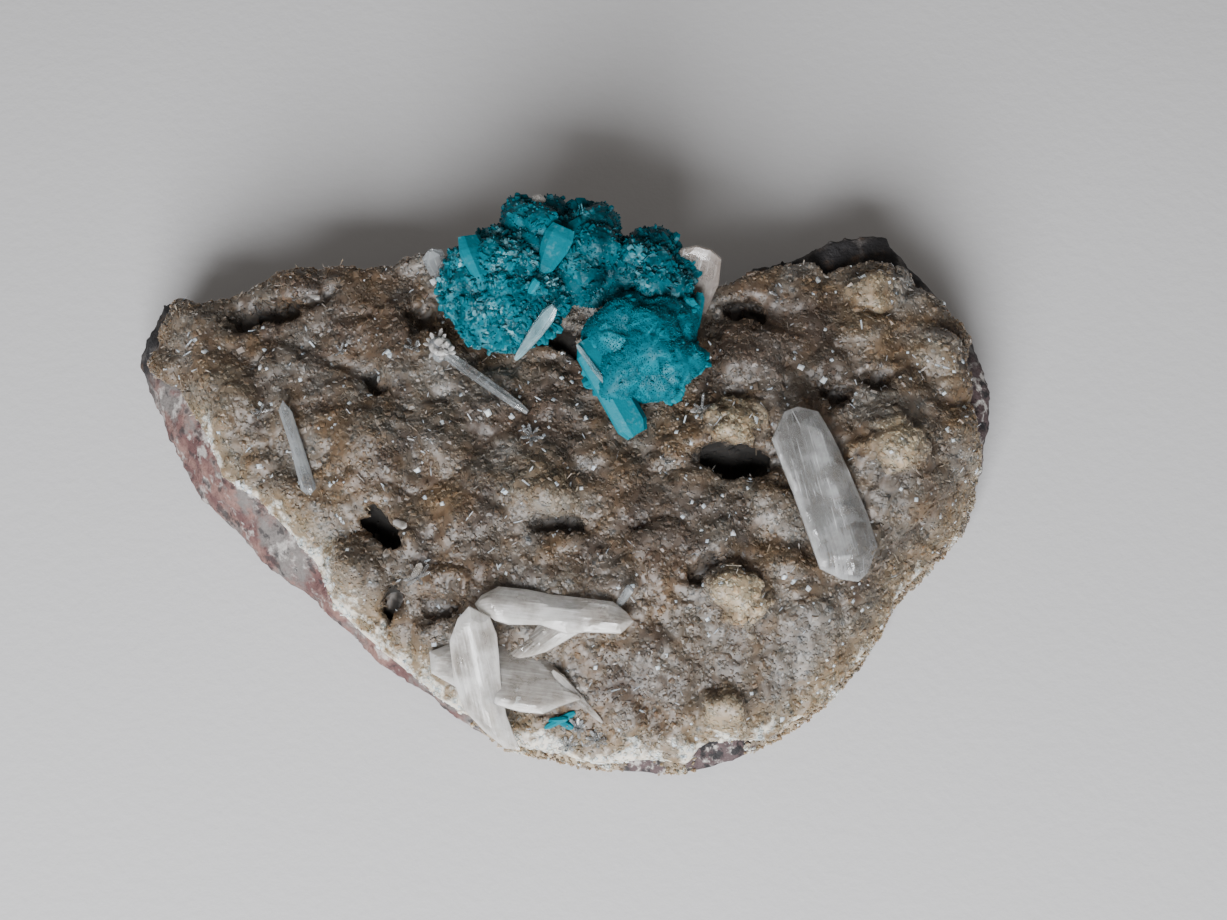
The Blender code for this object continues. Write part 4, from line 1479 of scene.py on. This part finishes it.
def joined(laths: Sequence[Crystal], name: str, material: bpy.types.Material) -> bpy.types.Object:
    """Makes one piece of several crystals.

    Args:
        laths: The crystals.
        name: The piece's name.
        material: Its material.

    Returns:
        The piece.
    """
    points: list[Vector] = []
    faces: list[tuple[int, ...]] = []
    chart: list[tuple[float, float]] = []
    milk: list[float] = []
    for lath in laths:
        own_points, own_faces, own_chart, own_milk = lath.mesh()
        faces += [tuple(index + len(points) for index in face) for face in own_faces]
        points += own_points
        chart += own_chart
        milk += own_milk
    piece = mesh_piece(name, points, faces, material)
    turn_outwards(piece.data)
    layer = piece.data.uv_layers.new(name="lath")
    for loop in piece.data.loops:
        layer.data[loop.index].uv = chart[loop.vertex_index]
    set_numbers(piece.data, "milk", milk)
    smooth(piece)
    piece.data.set_sharp_from_angle(angle=math.radians(SHARP_ANGLE))
    return piece


@dataclass
class BasaltSlab:
    """The rock under the crust, broken rough all round and flat below."""

    grid: float = 0.5
    rounds: int = 50
    chip: float = 0.40
    chip_grain: float = 4.4
    pore: float = 0.16
    pore_grain: float = 0.8
    foot: float = 0.5
    bare: tuple[Place, ...] = ((8.4, -27.0, 2.2), (16.0, -25.6, 3.6), (43.0, 8.0, 6.0))
    sugar: tuple[Scatter, ...] = (
        Scatter("coat_sugar_a", 4.0, (0.42, 0.34, 0.26), 0.45, 1.4, 607),
        Scatter("coat_sugar_b", 4.0, (0.34, 0.28, 0.24), 0.45, 1.4, 701),
    )

    def build(self, frame: dict[str, Any], palette: Palette, shapes: CrystalShapes) -> None:
        """Makes the rock's rough skin and the druse that runs down its front.

        Args:
            frame: The loaded frame.
            palette: The shared materials.
            shapes: The small crystals.
        """
        solid = frame["nodes"]["basalt_matrix"]
        piece = even_copy(solid, "basalt_rock", self.grid, self.rounds, palette.basalt)
        mesh = piece.data
        spots = places(mesh)
        facing = normals(mesh)
        rough = self.chip * clouds(spots, self.chip_grain, 5)
        rough = rough + self.pore * clouds(spots, self.pore_grain, 3, 6.0)
        free = np.clip((spots[:, 2] - self.foot) / 1.0, 0.0, 1.0)
        moved = spots + facing * (rough * free)[:, None]
        moved[:, 2] = np.where(spots[:, 2] < self.foot / 2.0, 0.0, moved[:, 2])
        put_places(mesh, moved)
        front = np.clip((14.0 - spots[:, 1]) / 6.0, 0.0, 1.0)
        left = np.clip((8.0 - spots[:, 0]) / 20.0, 0.0, 1.0)
        set_numbers(mesh, "weathered", np.clip(front * left * 1.6 + 0.25 * front, 0.0, 1.0))
        coat = np.clip((spots[:, 0] + 9.0) / 3.0, 0.0, 1.0) * np.clip((3.0 - spots[:, 1]) / 3.0, 0.0, 1.0)
        bare = np.zeros(len(spots))
        for x, y, radius in self.bare:
            away = np.hypot(spots[:, 0] - x, spots[:, 1] - y) / radius + 0.4 * clouds(spots, 1.5, 3, 5.0)
            coat = coat * np.clip(away * 2.0 - 1.2, 0.0, 1.0)
            bare = np.maximum(bare, np.clip(1.6 - away, 0.0, 1.0))
        side = (facing[:, 2] > -0.5) & (spots[:, 2] > 0.3)
        set_numbers(mesh, "coat", coat)
        set_numbers(mesh, "bare", bare)
        set_numbers(mesh, "sugar", coat * side)
        set_numbers(mesh, "rim", 0.9 * np.clip(0.7 + 0.5 * clouds(spots, 2.0, 3, 3.0), 0.0, 1.0))
        set_numbers(mesh, "tint", np.full(len(spots), 0.5))
        smooth(piece)
        for scatter in self.sugar:
            dress(scatter.over(piece, shapes.grain, palette.druse), "druse")
        dress(piece, "basalt", "basalt_matrix")


@dataclass(frozen=True)
class Rosette:
    """A ball of sheaves of cavansite blades, in millimetres.

    Each lobe has a direction, how far it stands out and its width in radians.

    Glow is how bright it is painted, partly its own turquoise and partly painted light, low on the shaded
    back rosettes, frost how silvery as painted sparkle, sheaves how many it has, fans how many blades
    stand round each one, crease how deep the gaps between them are, ridge how far a blade stands out,
    fuzz how thick its finest blades stand, ruffle how far those lean, pile how tall they are and
    slim how wide, as a share of the usual.
    """

    name: str
    centre: Place
    radius: float
    glow: float
    frost: float
    sheaves: int
    fans: int
    crease: float
    ridge: float
    level: int
    blades: Scatter
    fuzz: float = 0.45
    ruffle: float = 0.6
    pile: float = 0.17
    slim: float = 1.0
    lobes: tuple[tuple[Place, float, float], ...] = ()


@dataclass
class CavansiteCluster:
    """The five grown-together rosettes with their larger blades."""

    seat: float = 13.0
    inside: float = 0.86
    blade_frost: float = 0.2
    blade_tint: float = 0.55
    fuzz: Scatter = Scatter("fuzz", 11.0, (0.22, 0.11, 0.17), 0.5, 0.6, 811, Layout.SHEAF, 1.0, "bloom")
    rosettes: tuple[Rosette, ...] = (
        Rosette(
            "cavansite_left", (-5.1, 17.4, 17.7), 6.0, 0.42, 1.0, 30, 15, 0.7, 0.40, 6,
            Scatter("cavansite_left_blades", 1.5, (0.60, 0.28, 0.32), 0.50, 0.6, 11,
                    Layout.SHEAF, 1.2, "bloom"),
            lobes=(
                ((-1.0, -0.15, 0.1), 0.9, 0.30), ((-0.85, 0.55, 0.3), 0.8, 0.28),
                ((-0.5, -0.9, 0.0), 0.7, 0.30), ((0.25, -1.0, 0.1), 0.9, 0.30),
                ((0.9, -0.4, 0.3), 0.8, 0.35), ((-0.1, 0.1, 1.0), 0.5, 0.45),
            ),
        ),
        Rosette(
            "cavansite_right", (8.2, 11.8, 16.6), 5.3, 1.0, 0.15, 22, 18, 0.6, 0.30, 6,
            Scatter("cavansite_right_blades", 0.10, (0.60, 0.30, 0.26), 0.45, 0.3, 23,
                    Layout.SHEAF, 1.6, "bloom"),
            fuzz=2.6, ruffle=0.30, pile=0.10, slim=0.55,
            lobes=(
                ((1.0, -0.35, 0.1), 1.6, 0.34), ((0.5, -0.85, 0.15), 1.2, 0.32),
                ((-0.5, -0.8, 0.1), 1.7, 0.34), ((-1.0, 0.0, 0.1), 1.0, 0.36),
                ((0.85, 0.6, 0.2), 1.1, 0.34), ((-0.2, 0.3, 0.9), 0.6, 0.40), ((0.35, -0.4, 0.8), 0.7, 0.35),
            ),
        ),
        Rosette(
            "cavansite_back_right", (9.0, 18.9, 17.2), 4.4, 0.15, 0.7, 20, 12, 0.8, 0.40, 5,
            Scatter("cavansite_back_right_blades", 1.2, (0.55, 0.24, 0.38), 0.45, 0.7, 31,
                    Layout.SHEAF, 1.0, "bloom"),
            lobes=(((0.9, 0.3, 0.2), 0.6, 0.4), ((0.1, 0.9, 0.4), 0.6, 0.4)),
        ),
        Rosette(
            "cavansite_middle", (2.4, 20.6, 18.2), 4.8, 0.10, 0.3, 12, 9, 0.8, 0.45, 5,
            Scatter("cavansite_middle_blades", 0.6, (0.6, 0.22, 0.45), 0.45, 0.5, 47,
                    Layout.SHEAF, 1.4, "bloom"),
            lobes=(((0.4, 0.9, 0.3), 0.9, 0.35), ((-0.3, 0.6, 0.7), 0.7, 0.3)),
        ),
        Rosette(
            "cavansite_back", (-2.2, 22.0, 19.6), 3.8, 0.15, 0.2, 10, 9, 0.7, 0.40, 5,
            Scatter("cavansite_back_blades", 0.6, (0.6, 0.22, 0.45), 0.45, 0.5, 59,
                    Layout.SHEAF, 1.4, "bloom"),
            lobes=(((-0.6, 0.8, 0.3), 0.8, 0.35), ((0.5, 0.8, 0.2), 0.7, 0.35)),
        ),
    )
    # The number after each name is its glow: painted brightness, low for the shaded pieces at the back.
    blades: tuple[tuple[str, float, Lath], ...] = (
        ("tail", 1.0, Lath((2.5, 11.3, 18.9), (7.7, 3.1, 15.1), 3.4, 1.8, roll=-15.0,
                           root_width=0.9, tip_width=0.7, tip_taper=0.1)),
        ("wedge_left", 0.8, Lath((-7.2, 15.8, 22.4), (-8.5, 20.2, 23.4), 2.8, 1.6, roll=25.0,
                                 root_width=0.5, tip_width=0.8, tip_taper=0.3)),
        ("wedge_right", 0.8, Lath((-1.4, 17.0, 22.0), (0.6, 21.2, 23.4), 2.8, 1.2, roll=8.0,
                                  root_width=0.6, tip_width=0.8, tip_taper=0.2)),
        ("spot", 1.0, Lath((-2.6, 14.2, 23.2), (-1.8, 15.0, 24.4), 0.9, 0.5, tip_width=0.7)),
        ("upright", 0.9, Lath((13.4, 14.2, 14.8), (13.9, 17.2, 17.4), 1.1, 0.6, tip_width=0.5)),
        ("prism_back", 0.2, Lath((-5.6, 24.9, 20.2), (-2.8, 25.6, 20.6), 1.2, 1.2, tip_width=0.7)),
        ("plate_back", 0.15, Lath((1.0, 21.0, 22.4), (5.2, 23.6, 21.0), 2.6, 0.5, roll=20.0, tip_width=0.6)),
    )
    # The numbers after each name are its glow, painted brightness that is low for the shaded pieces at the
    # back, and its frost, painted sparkle.
    fans: tuple[tuple[str, float, float, Fan], ...] = (
        ("fan_left", 0.7, 2.0, Fan((-9.2, 16.8, 18.6), (-1.0, 0.05, 0.15), 11, 120.0, 3.0, 0.9, 3)),
        ("fan_left_top", 0.8, 2.0, Fan((-8.0, 17.6, 21.6), (-0.8, 0.5, 0.5), 6, 80.0, 2.2, 0.9, 5)),
        ("fan_low", 0.7, 1.6, Fan((-5.2, 12.8, 18.8), (-0.1, -1.0, 0.1), 10, 130.0, 2.6, 0.9, 9)),
        ("fan_low_right", 0.7, 0.5, Fan((-1.6, 13.4, 18.6), (0.5, -0.8, 0.1), 6, 80.0, 2.4, 0.9, 13)),
        ("fan_tail", 1.0, 0.0, Fan((4.6, 8.6, 16.8), (-0.7, -0.4, 0.05), 6, 90.0, 2.4, 1.3, 15)),
        ("fan_lobe", 1.0, 0.0, Fan((12.2, 10.4, 17.0), (1.0, -0.3, 0.05), 6, 70.0, 2.8, 1.5, 17)),
        ("fan_front", 1.0, 0.0, Fan((10.6, 7.8, 16.4), (0.6, -0.8, 0.05), 6, 80.0, 2.2, 1.3, 19)),
        ("fan_upper", 0.9, 0.0, Fan((11.8, 14.6, 18.2), (0.8, 0.5, 0.3), 6, 80.0, 2.2, 1.2, 21)),
        ("fan_back", 0.15, 0.0, Fan((2.0, 23.4, 20.4), (0.2, 1.0, 0.15), 8, 120.0, 2.6, 1.4, 25)),
        ("fan_back_left", 0.3, 0.2, Fan((-3.2, 24.0, 20.6), (-0.5, 0.8, 0.2), 6, 100.0, 2.2, 1.1, 27)),
        ("fan_back_right", 0.2, 0.3, Fan((10.4, 20.8, 19.0), (0.6, 0.7, 0.2), 7, 120.0, 2.4, 1.1, 29)),
    )
    # A thin icy lath along the tail's upper left; it stands in partly for a glint there.
    glint_streak: Lath = Lath(
        (1.9, 10.5, 19.6), (5.0, 6.4, 18.3), 0.6, 0.4, roll=-10.0, tip_width=0.35, tip_taper=0.4
    )
    pink: Lath = Lath((-2.6, 24.3, 20.6), (-1.6, 25.2, 22.2), 1.5, 1.2, roll=30.0, tip_width=0.5)

    def _heads(self, rosette: Rosette) -> np.ndarray:
        """Returns the directions in which a rosette's sheaves stand, one row each.

        Args:
            rosette: Its sizes.

        Returns:
            The directions, one unit long.
        """
        chance = np.random.default_rng(rosette.blades.seed)
        count = rosette.sheaves
        rise = 1.0 - 2.0 * (np.arange(count) + 0.5) / count
        turn = np.arange(count) * GOLDEN_TURN
        flat = np.sqrt(1.0 - rise**2)
        heads = np.stack([flat * np.cos(turn), flat * np.sin(turn), rise], axis=1)
        heads += chance.normal(0.0, 0.55 / math.sqrt(count), heads.shape)
        return heads / np.linalg.norm(heads, axis=1)[:, None]

    def _surface(self, rosette: Rosette, material: bpy.types.Material) -> bpy.types.Object:
        """Makes a rosette's body: sheaves whose blades spread round their middles.

        Args:
            rosette: Its sizes.
            material: Its material.

        Returns:
            The body.
        """
        work = bmesh.new()
        bmesh.ops.create_icosphere(work, subdivisions=rosette.level, radius=1.0)
        mesh = bpy.data.meshes.new(rosette.name)
        work.to_mesh(mesh)
        work.free()
        mesh.materials.append(material)
        ways = places(mesh) * MM
        centre = np.array(rosette.centre)
        spots = centre + ways * rosette.radius
        heads = self._heads(rosette)
        span = 2.0 / math.sqrt(rosette.sheaves)
        warp = np.stack([clouds(spots, 1.6, 2, shift) for shift in (3.0, 13.0, 23.0)], axis=1)
        warped = ways + warp * span * 0.18
        warped /= np.linalg.norm(warped, axis=1)[:, None]
        angles = np.arccos(np.clip(warped @ heads.T, -1.0, 1.0))
        row = np.arange(len(ways))
        nearest = angles.argmin(axis=1)
        first = angles[row, nearest].copy()
        angles[row, nearest] = np.inf
        gap = (angles.min(axis=1) - first) * rosette.radius
        away = first / span
        side = np.cross(heads, np.array([0.31, -0.52, 0.79]))
        side /= np.linalg.norm(side, axis=1)[:, None]
        other_side = np.cross(heads, side)
        turn = np.arctan2((warped * other_side[nearest]).sum(axis=1), (warped * side[nearest]).sum(axis=1))
        chance = np.random.default_rng(rosette.blades.seed + 1)
        fans = chance.integers(int(rosette.fans * 0.7), int(rosette.fans * 1.3) + 1, len(heads))
        place = (turn / math.tau + 0.5) * fans[nearest]
        blade = place.astype(int)
        within = place - blade - 0.5
        lot = chance.uniform(0.0, 1.0, (len(heads), rosette.fans * 2))
        own = lot[nearest, blade % lot.shape[1]]
        spread = np.clip(away * 1.6, 0.0, 1.0)
        lift = -rosette.crease * away**2 + rosette.ridge * spread * (own - 0.5 + within * (own - 0.3))
        lift += 0.09 * clouds(spots, 0.45, 2, 8.0)
        for way, height, width in rosette.lobes:
            off = np.arccos(np.clip(ways @ np.array(Vector(way).normalized()), -1.0, 1.0)) / width
            lift += height * np.exp(-(off**2))
        put_places(mesh, centre + ways * (rosette.radius + 0.4 * rosette.crease + lift)[:, None])
        piece = bpy.data.objects.new(rosette.name, mesh)
        bpy.context.scene.collection.objects.link(piece)
        bloom = np.where(spots[:, 2] > self.seat, 1.0, 0.0)
        for other in self.rosettes:
            if other is not rosette:
                reach = np.linalg.norm(spots - np.array(other.centre), axis=1)
                bloom = bloom * (reach > other.radius * self.inside)
        set_numbers(mesh, "bloom", bloom * (0.25 + away))
        set_numbers(mesh, "glow", np.full(len(spots), rosette.glow))
        patchy = np.clip(0.55 + 1.2 * clouds(spots, 4.0, 2, 41.0), 0.0, 1.0)
        set_numbers(mesh, "frost", rosette.frost * patchy)
        # Painted shade in the narrow gaps between sheaves.
        set_numbers(mesh, "hollow", np.clip(1.0 - gap / 0.6, 0.0, 1.0) * 0.45)
        # Painted highlight on the ridges of blades that stand out.
        set_numbers(mesh, "ridge", spread * np.clip(own * 1.6 - 0.6, 0.0, 1.0))
        set_numbers(mesh, "tint", own)
        if rosette.glow > 0.5:
            smooth(piece)
        return piece

    def _coloured(self, piece: bpy.types.Object, glow: float, frost: float) -> None:
        """Sets how bright and silvery a piece is painted and fixes it to the body.

        Args:
            piece: The piece.
            glow: How bright it is painted, partly its own turquoise and partly painted light and shade.
            frost: How silvery it is, as painted sparkle.
        """
        count = len(piece.data.vertices)
        # The ridge number, set to the glow, paints the tip highlight over the whole piece.
        for name, value in (("glow", glow), ("frost", frost), ("tint", self.blade_tint), ("ridge", glow)):
            set_numbers(piece.data, name, np.full(count, value))
        dress(piece, "cavansite")

    def build(self, palette: Palette, shapes: CrystalShapes) -> None:
        """Makes the rosettes, their blades and the larger blades.

        Args:
            palette: The shared materials.
            shapes: The small crystals.
        """
        for number, rosette in enumerate(self.rosettes):
            ball = self._surface(rosette, palette.cavansite)
            wide, thick, _ = self.fuzz.size
            fuzz = replace(
                self.fuzz, name=f"{rosette.name}_fuzz", density=self.fuzz.density * rosette.fuzz,
                size=(wide * rosette.slim, thick * rosette.slim, rosette.pile), lean=rosette.ruffle,
                seed=self.fuzz.seed + number,
            )
            dress(fuzz.over(ball, shapes.grain, palette.cavansite), "cavansite")
            dress(rosette.blades.over(ball, shapes.blade, palette.cavansite), "cavansite")
            dress(ball, "cavansite", "cavansite_cluster")
        for name, glow, lath in self.blades:
            self._coloured(lath.piece(f"cavansite_{name}", palette.cavansite), glow, self.blade_frost)
        for name, glow, frost, fan in self.fans:
            self._coloured(joined(fan.laths(), f"cavansite_{name}", palette.cavansite), glow, frost)
        dress(self.glint_streak.piece("cavansite_streak", palette.icy), "stilbite")
        dress(self.pink.piece("cavansite_pink", palette.milky), "stilbite")


class Clarity(Enum):
    """How a pale crystal looks, by the palette's name for it."""

    MILKY = "milky"
    SMOKY = "smoky"
    GLASSY = "glassy"
    ROSY = "rosy"
    ICY = "icy"


@dataclass(frozen=True)
class Stilbite:
    """A pale crystal, or several grown together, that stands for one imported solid."""

    node: str
    laths: tuple[Crystal, ...]
    clarity: Clarity = Clarity.MILKY

    def build(self, palette: Palette) -> None:
        """Makes the crystals as one piece.

        Args:
            palette: The shared materials.
        """
        material = getattr(palette, self.clarity.value)
        dress(joined(self.laths, f"{self.node}_crystal", material), "stilbite", self.node)


@dataclass
class StilbiteCrystals:
    """All the pale blades and needles that lie on the crust."""

    crystals: tuple[Stilbite, ...] = (
        Stilbite("stilbite_blade_right", (
            Plate((28.0, -10.8, 10.8), (23.2, 4.8, 17.2), 10.0, 3.0, (
                (17.7, -1.5), (17.8, -0.1), (16.8, 1.8), (14.3, 2.5),
                (10.3, 3.2), (5.8, 3.8), (2.7, 3.9), (0.6, 2.2),
                (0.0, 1.0), (0.7, -0.6), (2.3, -2.4), (5.6, -2.6), (9.8, -2.9), (13.2, -3.3), (15.5, -3.5),
            ), ridge=1.0, fall=0.28, seed=3),
        ), Clarity.SMOKY),
        Stilbite("stilbite_blade_group", (
            Plate((-5.7, -24.2, 7.0), (-7.9, -14.7, 13.4), -8.0, 2.2, (
                (12.6, -0.1), (11.2, 1.6), (9.4, 1.9), (7.4, 1.7),
                (5.4, 1.4), (3.3, 1.2), (1.4, 1.2), (-0.7, 1.5),
                (-2.2, 1.8), (-1.8, 0.4), (0.4, -1.3), (2.8, -2.7), (5.8, -3.0), (9.6, -2.6), (11.6, -1.4),
            ), ridge=-0.4, fall=0.26, seed=5),
            Plate((0.9, -20.9, 8.2), (-12.1, -19.3, 9.4), 6.0, 1.9, (
                (13.5, 2.2), (12.4, 2.9), (11.6, 3.5), (7.2, 4.3),
                (4.0, 3.8), (2.3, 3.2), (1.1, 2.3), (-0.3, 0.7),
                (-1.4, -0.3), (0.3, -1.2), (2.0, -2.3), (4.1, -2.4), (6.3, -2.1), (10.6, -0.8), (13.0, 0.2),
            ), ridge=1.2, fall=0.14, seed=8),
            Lath((4.3, -23.1, 6.0), (-0.4, -18.9, 9.3), 1.0, 0.8, root_width=0.5),
        )),
        Stilbite("stilbite_fork", (
            Plate((7.4, -14.9, 12.3), (-7.7, -13.5, 12.8), 6.0, 2.1, (
                (15.2, 0.1), (14.7, 1.0), (13.2, 2.1), (10.5, 2.1),
                (8.0, 1.8), (5.7, 1.8), (2.2, 1.7), (0.9, 0.8),
                (0.1, -0.1), (1.2, -1.4), (4.5, -1.6), (6.2, -2.0),
                (8.8, -1.3), (11.8, -1.6), (13.2, -1.3), (14.8, -0.4),
            ), ridge=0.3, fall=0.2, seed=13),
            Plate((-2.9, -17.2, 9.4), (2.0, -14.6, 12.3), 0.0, 1.6, (
                (5.6, -1.6), (2.8, -1.7), (0.2, -1.3), (-1.9, -0.9),
                (-1.5, -0.2), (0.2, 0.5), (1.8, 1.0), (5.8, 1.3),
            ), ridge=-0.3, fall=0.2, seed=17),
        )),
        Stilbite("stilbite_prism", (
            Lath((5.9, -13.0, 11.4), (7.0, -12.3, 14.4), 0.9, 0.8, tip_width=0.7, tip_taper=0.08),
        ), Clarity.GLASSY),
        Stilbite("stilbite_needle_left", (
            Plate((-23.5, -2.4, 12.2), (-26.5, 6.2, 15.3), 0.0, 1.0, (
                (10.0, -0.1), (9.2, -0.8), (5.6, -0.8), (1.2, -1.1),
                (0.0, -0.4), (0.8, 0.4), (6.3, 0.4), (8.7, 0.4),
            ), ridge=-0.2, fall=0.4, grid=0.2, seed=19),
        ), Clarity.GLASSY),
        Stilbite("stilbite_needle_centre", (
            Lath((-3.0, 6.0, 13.6), (-11.4, 11.8, 15.2), 1.1, 1.0, roll=15.0, tip_width=0.6),
            Lath((-11.0, 12.0, 13.4), (-12.4, 12.8, 15.8), 1.7, 1.5, roll=40.0, tip_width=0.4),
            Lath((-10.8, 12.8, 13.6), (-12.2, 11.4, 15.2), 1.6, 1.3, roll=-30.0, tip_width=0.4),
        ), Clarity.GLASSY),
        Stilbite("stilbite_needle_cluster", (
            Lath((-4.0, 9.6, 18.2), (-0.2, 12.8, 23.1), 1.5, 0.9, tip_width=0.5, root_width=0.5),
        ), Clarity.ICY),
        Stilbite("stilbite_blade_behind", (
            Plate((13.2, 17.5, 13.0), (14.3, 20.6, 20.0), 8.0, 1.3, (
                (5.5, -2.9), (7.1, -2.3), (7.9, -0.9), (7.8, 0.6),
                (7.0, 1.8), (4.0, 2.1), (0.0, 1.5), (0.0, -1.2),
                (3.3, -2.3),
            ), seed=23),
        ), Clarity.ROSY),
        Stilbite("stilbite_chip_behind", (
            Lath((-11.9, 21.0, 12.8), (-12.8, 22.3, 16.6), 2.2, 1.1, roll=-10.0),
        ), Clarity.GLASSY),
    )

    knob: tuple[Star, ...] = (
        Star((-11.5, 12.2, 15.0), 9, 1.6, 1.1, 2.5, 37), Star((-12.0, 12.6, 15.0), 9, 1.8, 0.4, 1.6, 39),
        Star((-11.0, 11.8, 15.2), 9, 1.5, 0.5, 3.0, 35),
    )

    def build(self, palette: Palette) -> None:
        """Makes every crystal.

        Args:
            palette: The shared materials.
        """
        for crystal in self.crystals:
            crystal.build(palette)
        rays = [lath for star in self.knob for lath in star.laths()]
        dress(joined(rays, "needle_knob", palette.milky), "stilbite")


@dataclass
class CavansiteSprig:
    """The small crossing sticks of cavansite by the front blades."""

    sticks: tuple[Lath, ...] = (
        Lath((-1.2, -23.5, 5.4), (1.7, -22.3, 6.7), 0.7, 0.6, tip_width=0.5),
        Lath((-0.4, -22.5, 5.6), (1.5, -23.7, 6.2), 0.7, 0.6, roll=20.0, tip_width=0.5),
        Lath((-0.9, -22.8, 5.5), (1.0, -23.0, 6.8), 0.6, 0.5, roll=-15.0, tip_width=0.5),
    )

    def build(self, palette: Palette) -> None:
        """Makes the sprig.

        Args:
            palette: The shared materials.
        """
        piece = joined(self.sticks, "cavansite_sprig_sticks", palette.cavansite)
        # Full glow and ridge paint the sticks at their brightest, with the tip highlight over them.
        for name in ("glow", "tint", "ridge"):
            set_numbers(piece.data, name, np.full(len(piece.data.vertices), 1.0))
        dress(piece, "cavansite", "cavansite_sprig")


@dataclass(frozen=True)
class Studio:
    """The pale floor, the soft light and the camera; lengths in millimetres."""

    target: Place = (5.4, 3.25, 8.0)
    elevation: float = 68.0
    distance: float = 200.0
    lens: float = 58.7
    floor: float = 900.0
    sky: Colour = (1.00, 0.94, 0.89)
    sky_strength: float = 0.245
    lamp_place: Place = (-50.0, -330.0, 235.0)
    lamp_size: float = 240.0
    lamp_power: float = 5.15
    lamp_colour: Colour = (0.985, 0.995, 1.02)
    nearest: float = 5.0

    def build(self) -> None:
        """Makes the floor, the light and the camera."""
        half = self.floor / 2.0
        corners = [(-half, -half, 0.0), (half, -half, 0.0), (half, half, 0.0), (-half, half, 0.0)]
        floor = mesh_piece("floor", corners, [(0, 1, 2, 3)], FloorFinish().material())
        world = bpy.data.worlds.new("soft_sky")
        world.use_nodes = True
        backdrop = world.node_tree.nodes["Background"]
        backdrop.inputs["Color"].default_value = (*self.sky, 1.0)
        backdrop.inputs["Strength"].default_value = self.sky_strength
        bpy.context.scene.world = world
        lamp_data = bpy.data.lights.new("softbox", "AREA")
        lamp_data.size = self.lamp_size * MM
        lamp_data.energy = self.lamp_power
        lamp_data.color = self.lamp_colour
        lamp = bpy.data.objects.new("softbox", lamp_data)
        lamp.location = Vector(self.lamp_place) * MM
        aim = Vector(self.target) * MM - lamp.location
        lamp.rotation_euler = aim.to_track_quat("-Z", "Y").to_euler()
        bpy.context.scene.collection.objects.link(lamp)
        angle = math.radians(self.elevation)
        back = Vector((0.0, -math.cos(angle), math.sin(angle)))
        camera_data = bpy.data.cameras.new("camera")
        camera_data.lens = self.lens
        camera_data.clip_start = self.nearest * MM
        camera = bpy.data.objects.new("camera", camera_data)
        camera.location = (Vector(self.target) + back * self.distance) * MM
        camera.rotation_euler = (-back).to_track_quat("-Z", "Y").to_euler()
        bpy.context.scene.collection.objects.link(camera)
        bpy.context.scene.camera = camera


def main() -> None:
    """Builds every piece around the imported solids."""
    logging.basicConfig(level=logging.INFO, format="%(message)s")
    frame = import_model()
    Studio().build()
    palette = Palette.mixed()
    shapes = CrystalShapes()
    BasaltSlab().build(frame, palette, shapes)
    DruseCrust().build(frame, palette, shapes)
    CavansiteCluster().build(palette, shapes)
    StilbiteCrystals().build(palette)
    CavansiteSprig().build(palette)
    shapes.clear()


if __name__ == "__main__":
    main()
